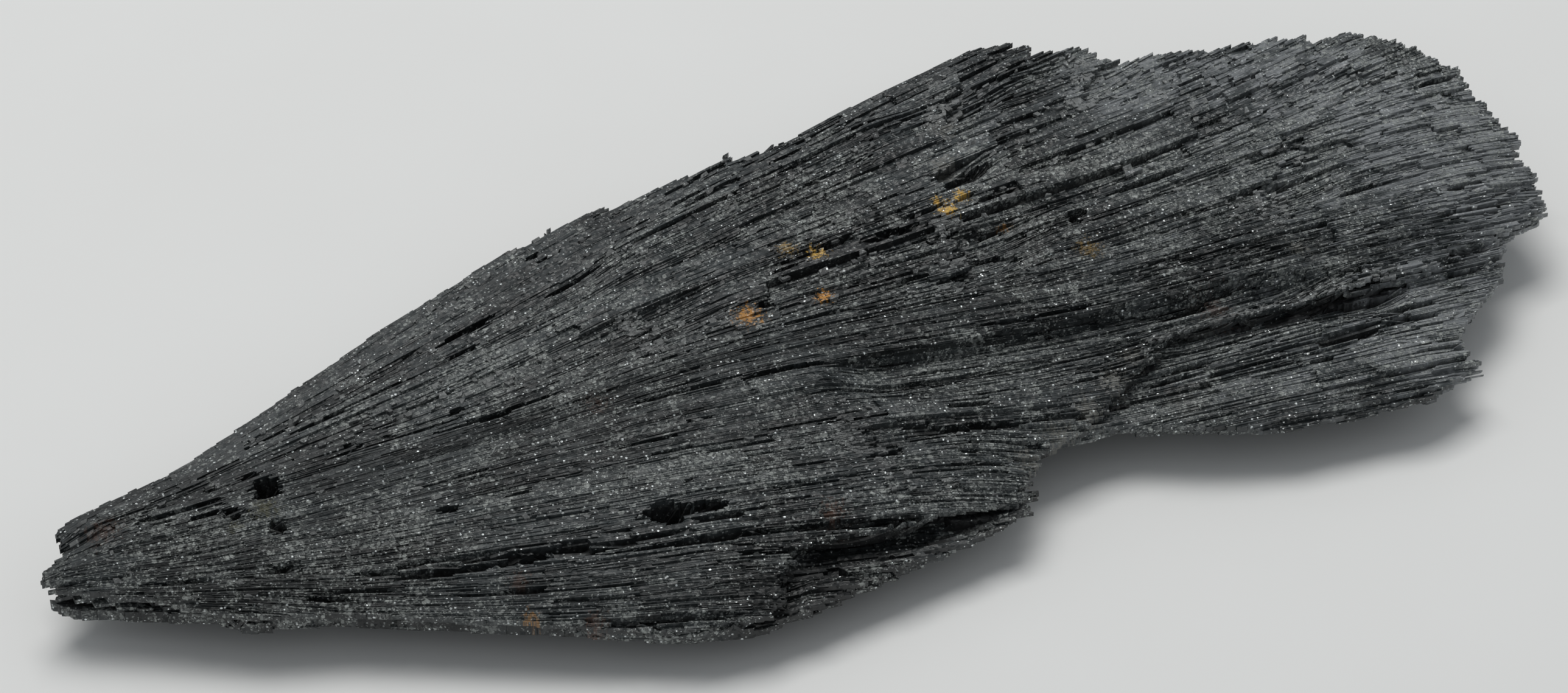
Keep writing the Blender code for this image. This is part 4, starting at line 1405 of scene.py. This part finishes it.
# %% Top and depth of the inner stone
def core_top(x, y, slope, centre_x, centre_y):
    """Below the top sheet and, where that is missing, below the lower sheets."""
    height = top_surface(x, y, TOP) - named_drop(x, y, slope, centre_x, centre_y) - 1.5
    height = height - 2.2 * (look_up(DEEP, x, y) < 1.5)
    for sheet in (LOBE, SHORT):
        alone = (look_up(TOP["inside"], x, y) == 0) & (look_up(sheet["inside"], x, y) == 1)
        height = np.where(alone, top_surface(x, y, sheet) - 1.3, height)
    return np.maximum(height, under_surface(x, y, TOP) + 0.6)


def core_depth(x, y, base):
    """Down to half a millimetre above the underside."""
    return np.maximum(0.2, base - under_surface(x, y, TOP) - LEAST_STONE)


inner = WITHIN & (RIM_DISTANCE > 1.0 + 1.2 * ROOT_PART)
print("the inner stone fills", round(100.0 * float(inner.sum() / WITHIN.sum())), "percent of the outline")

# %% Inner stone
core_rows = lay_laths(inner, WHOLE_FAN, rng, fibre=1.3, shape=4.0, relief=0.3, slots=0.0, teeth=0.2,
                      steps=False)
core = lath_object("inner_stone", core_rows, core_top, core_depth, material="inner kyanite")
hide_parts("kyanite_fan")

# %% [markdown]
# ## The floor
# The fan lies on a plain pale surface with the faintest cloudiness, so that it doesn't look like
# cut paper. It is a stage, not a part of the fan, and lies a hair below it.

# %% Floor
FLOOR_HALF, FLOOR_AT = 3.0, -0.00002
corners = [(-1, -1), (1, -1), (1, 1), (-1, 1)]
floor_mesh = bpy.data.meshes.new("floor")
floor_mesh.from_pydata([(x * FLOOR_HALF, y * FLOOR_HALF, FLOOR_AT) for x, y in corners], [], [(0, 1, 2, 3)])
floor = bpy.data.objects.new("floor", floor_mesh)
scene.collection.objects.link(floor)
floor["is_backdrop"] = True
paper = bpy.data.materials.new("pale floor")
paper.use_nodes = True
tree = paper.node_tree
shader = tree.nodes["Principled BSDF"]
cloudy = noise(tree, add(tree, "TexCoord").outputs["Object"], 30.0, 4.0)
pale = blend(tree, cloudy, (0.80, 0.80, 0.79, 1.0), (0.84, 0.845, 0.84, 1.0))
tree.links.new(pale, shader.inputs["Base Color"])
shader.inputs["Roughness"].default_value = 0.9
floor_mesh.materials.append(paper)
print("the floor is", round(2.0 * FLOOR_HALF), "m wide")

# %% [markdown]
# ## Light
# One large window stands high behind the fan, so the near edges fall into their own soft shade
# and the glints of the top point at it. A pale sky fills the rest, weakly, or the slots would
# turn grey.

# %% Light
SKY_COLOUR, SKY_STRENGTH = (0.93, 0.97, 1.0, 1.0), 0.35
WINDOW_AT, WINDOW_AIM = (-0.03, 0.20, 0.70), (0.0, 0.02, 0.0)
WINDOW_SIZE, WINDOW_POWER, WINDOW_COLOUR = (0.5, 0.4), 2.95, (1.0, 0.99, 0.97)

world = bpy.data.worlds.new("pale sky")
scene.world = world
world.use_nodes = True
sky = world.node_tree.nodes["Background"]
sky.inputs["Color"].default_value = SKY_COLOUR
sky.inputs["Strength"].default_value = SKY_STRENGTH

light = bpy.data.lights.new("window", "AREA")
light.shape = "RECTANGLE"
light.size, light.size_y = WINDOW_SIZE
light.energy = WINDOW_POWER
light.color = WINDOW_COLOUR
window = bpy.data.objects.new("window", light)
scene.collection.objects.link(window)
window.location = WINDOW_AT
window.rotation_euler = aimed(WINDOW_AT, WINDOW_AIM)
scene.view_settings.view_transform = "Standard"
print("the window stands", WINDOW_AT[2], "m above the floor")

# %% [markdown]
# ## Sizes and the end
# The dressed fan should reach no farther than its solid, apart from a few ragged ends. Both
# boxes are measured, and the growth on each side is printed.

# %% Sizes and the end
bpy.context.view_layer.update()
MODEL_BOX = [list(corner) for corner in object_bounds()]
for label, low, high, cad_low, cad_high in zip("xyz", *MODEL_BOX, *CAD_BOX):
    print(label, "grows by", round((cad_low - low) / MM, 2), "and", round((high - cad_high) / MM, 2), "mm")
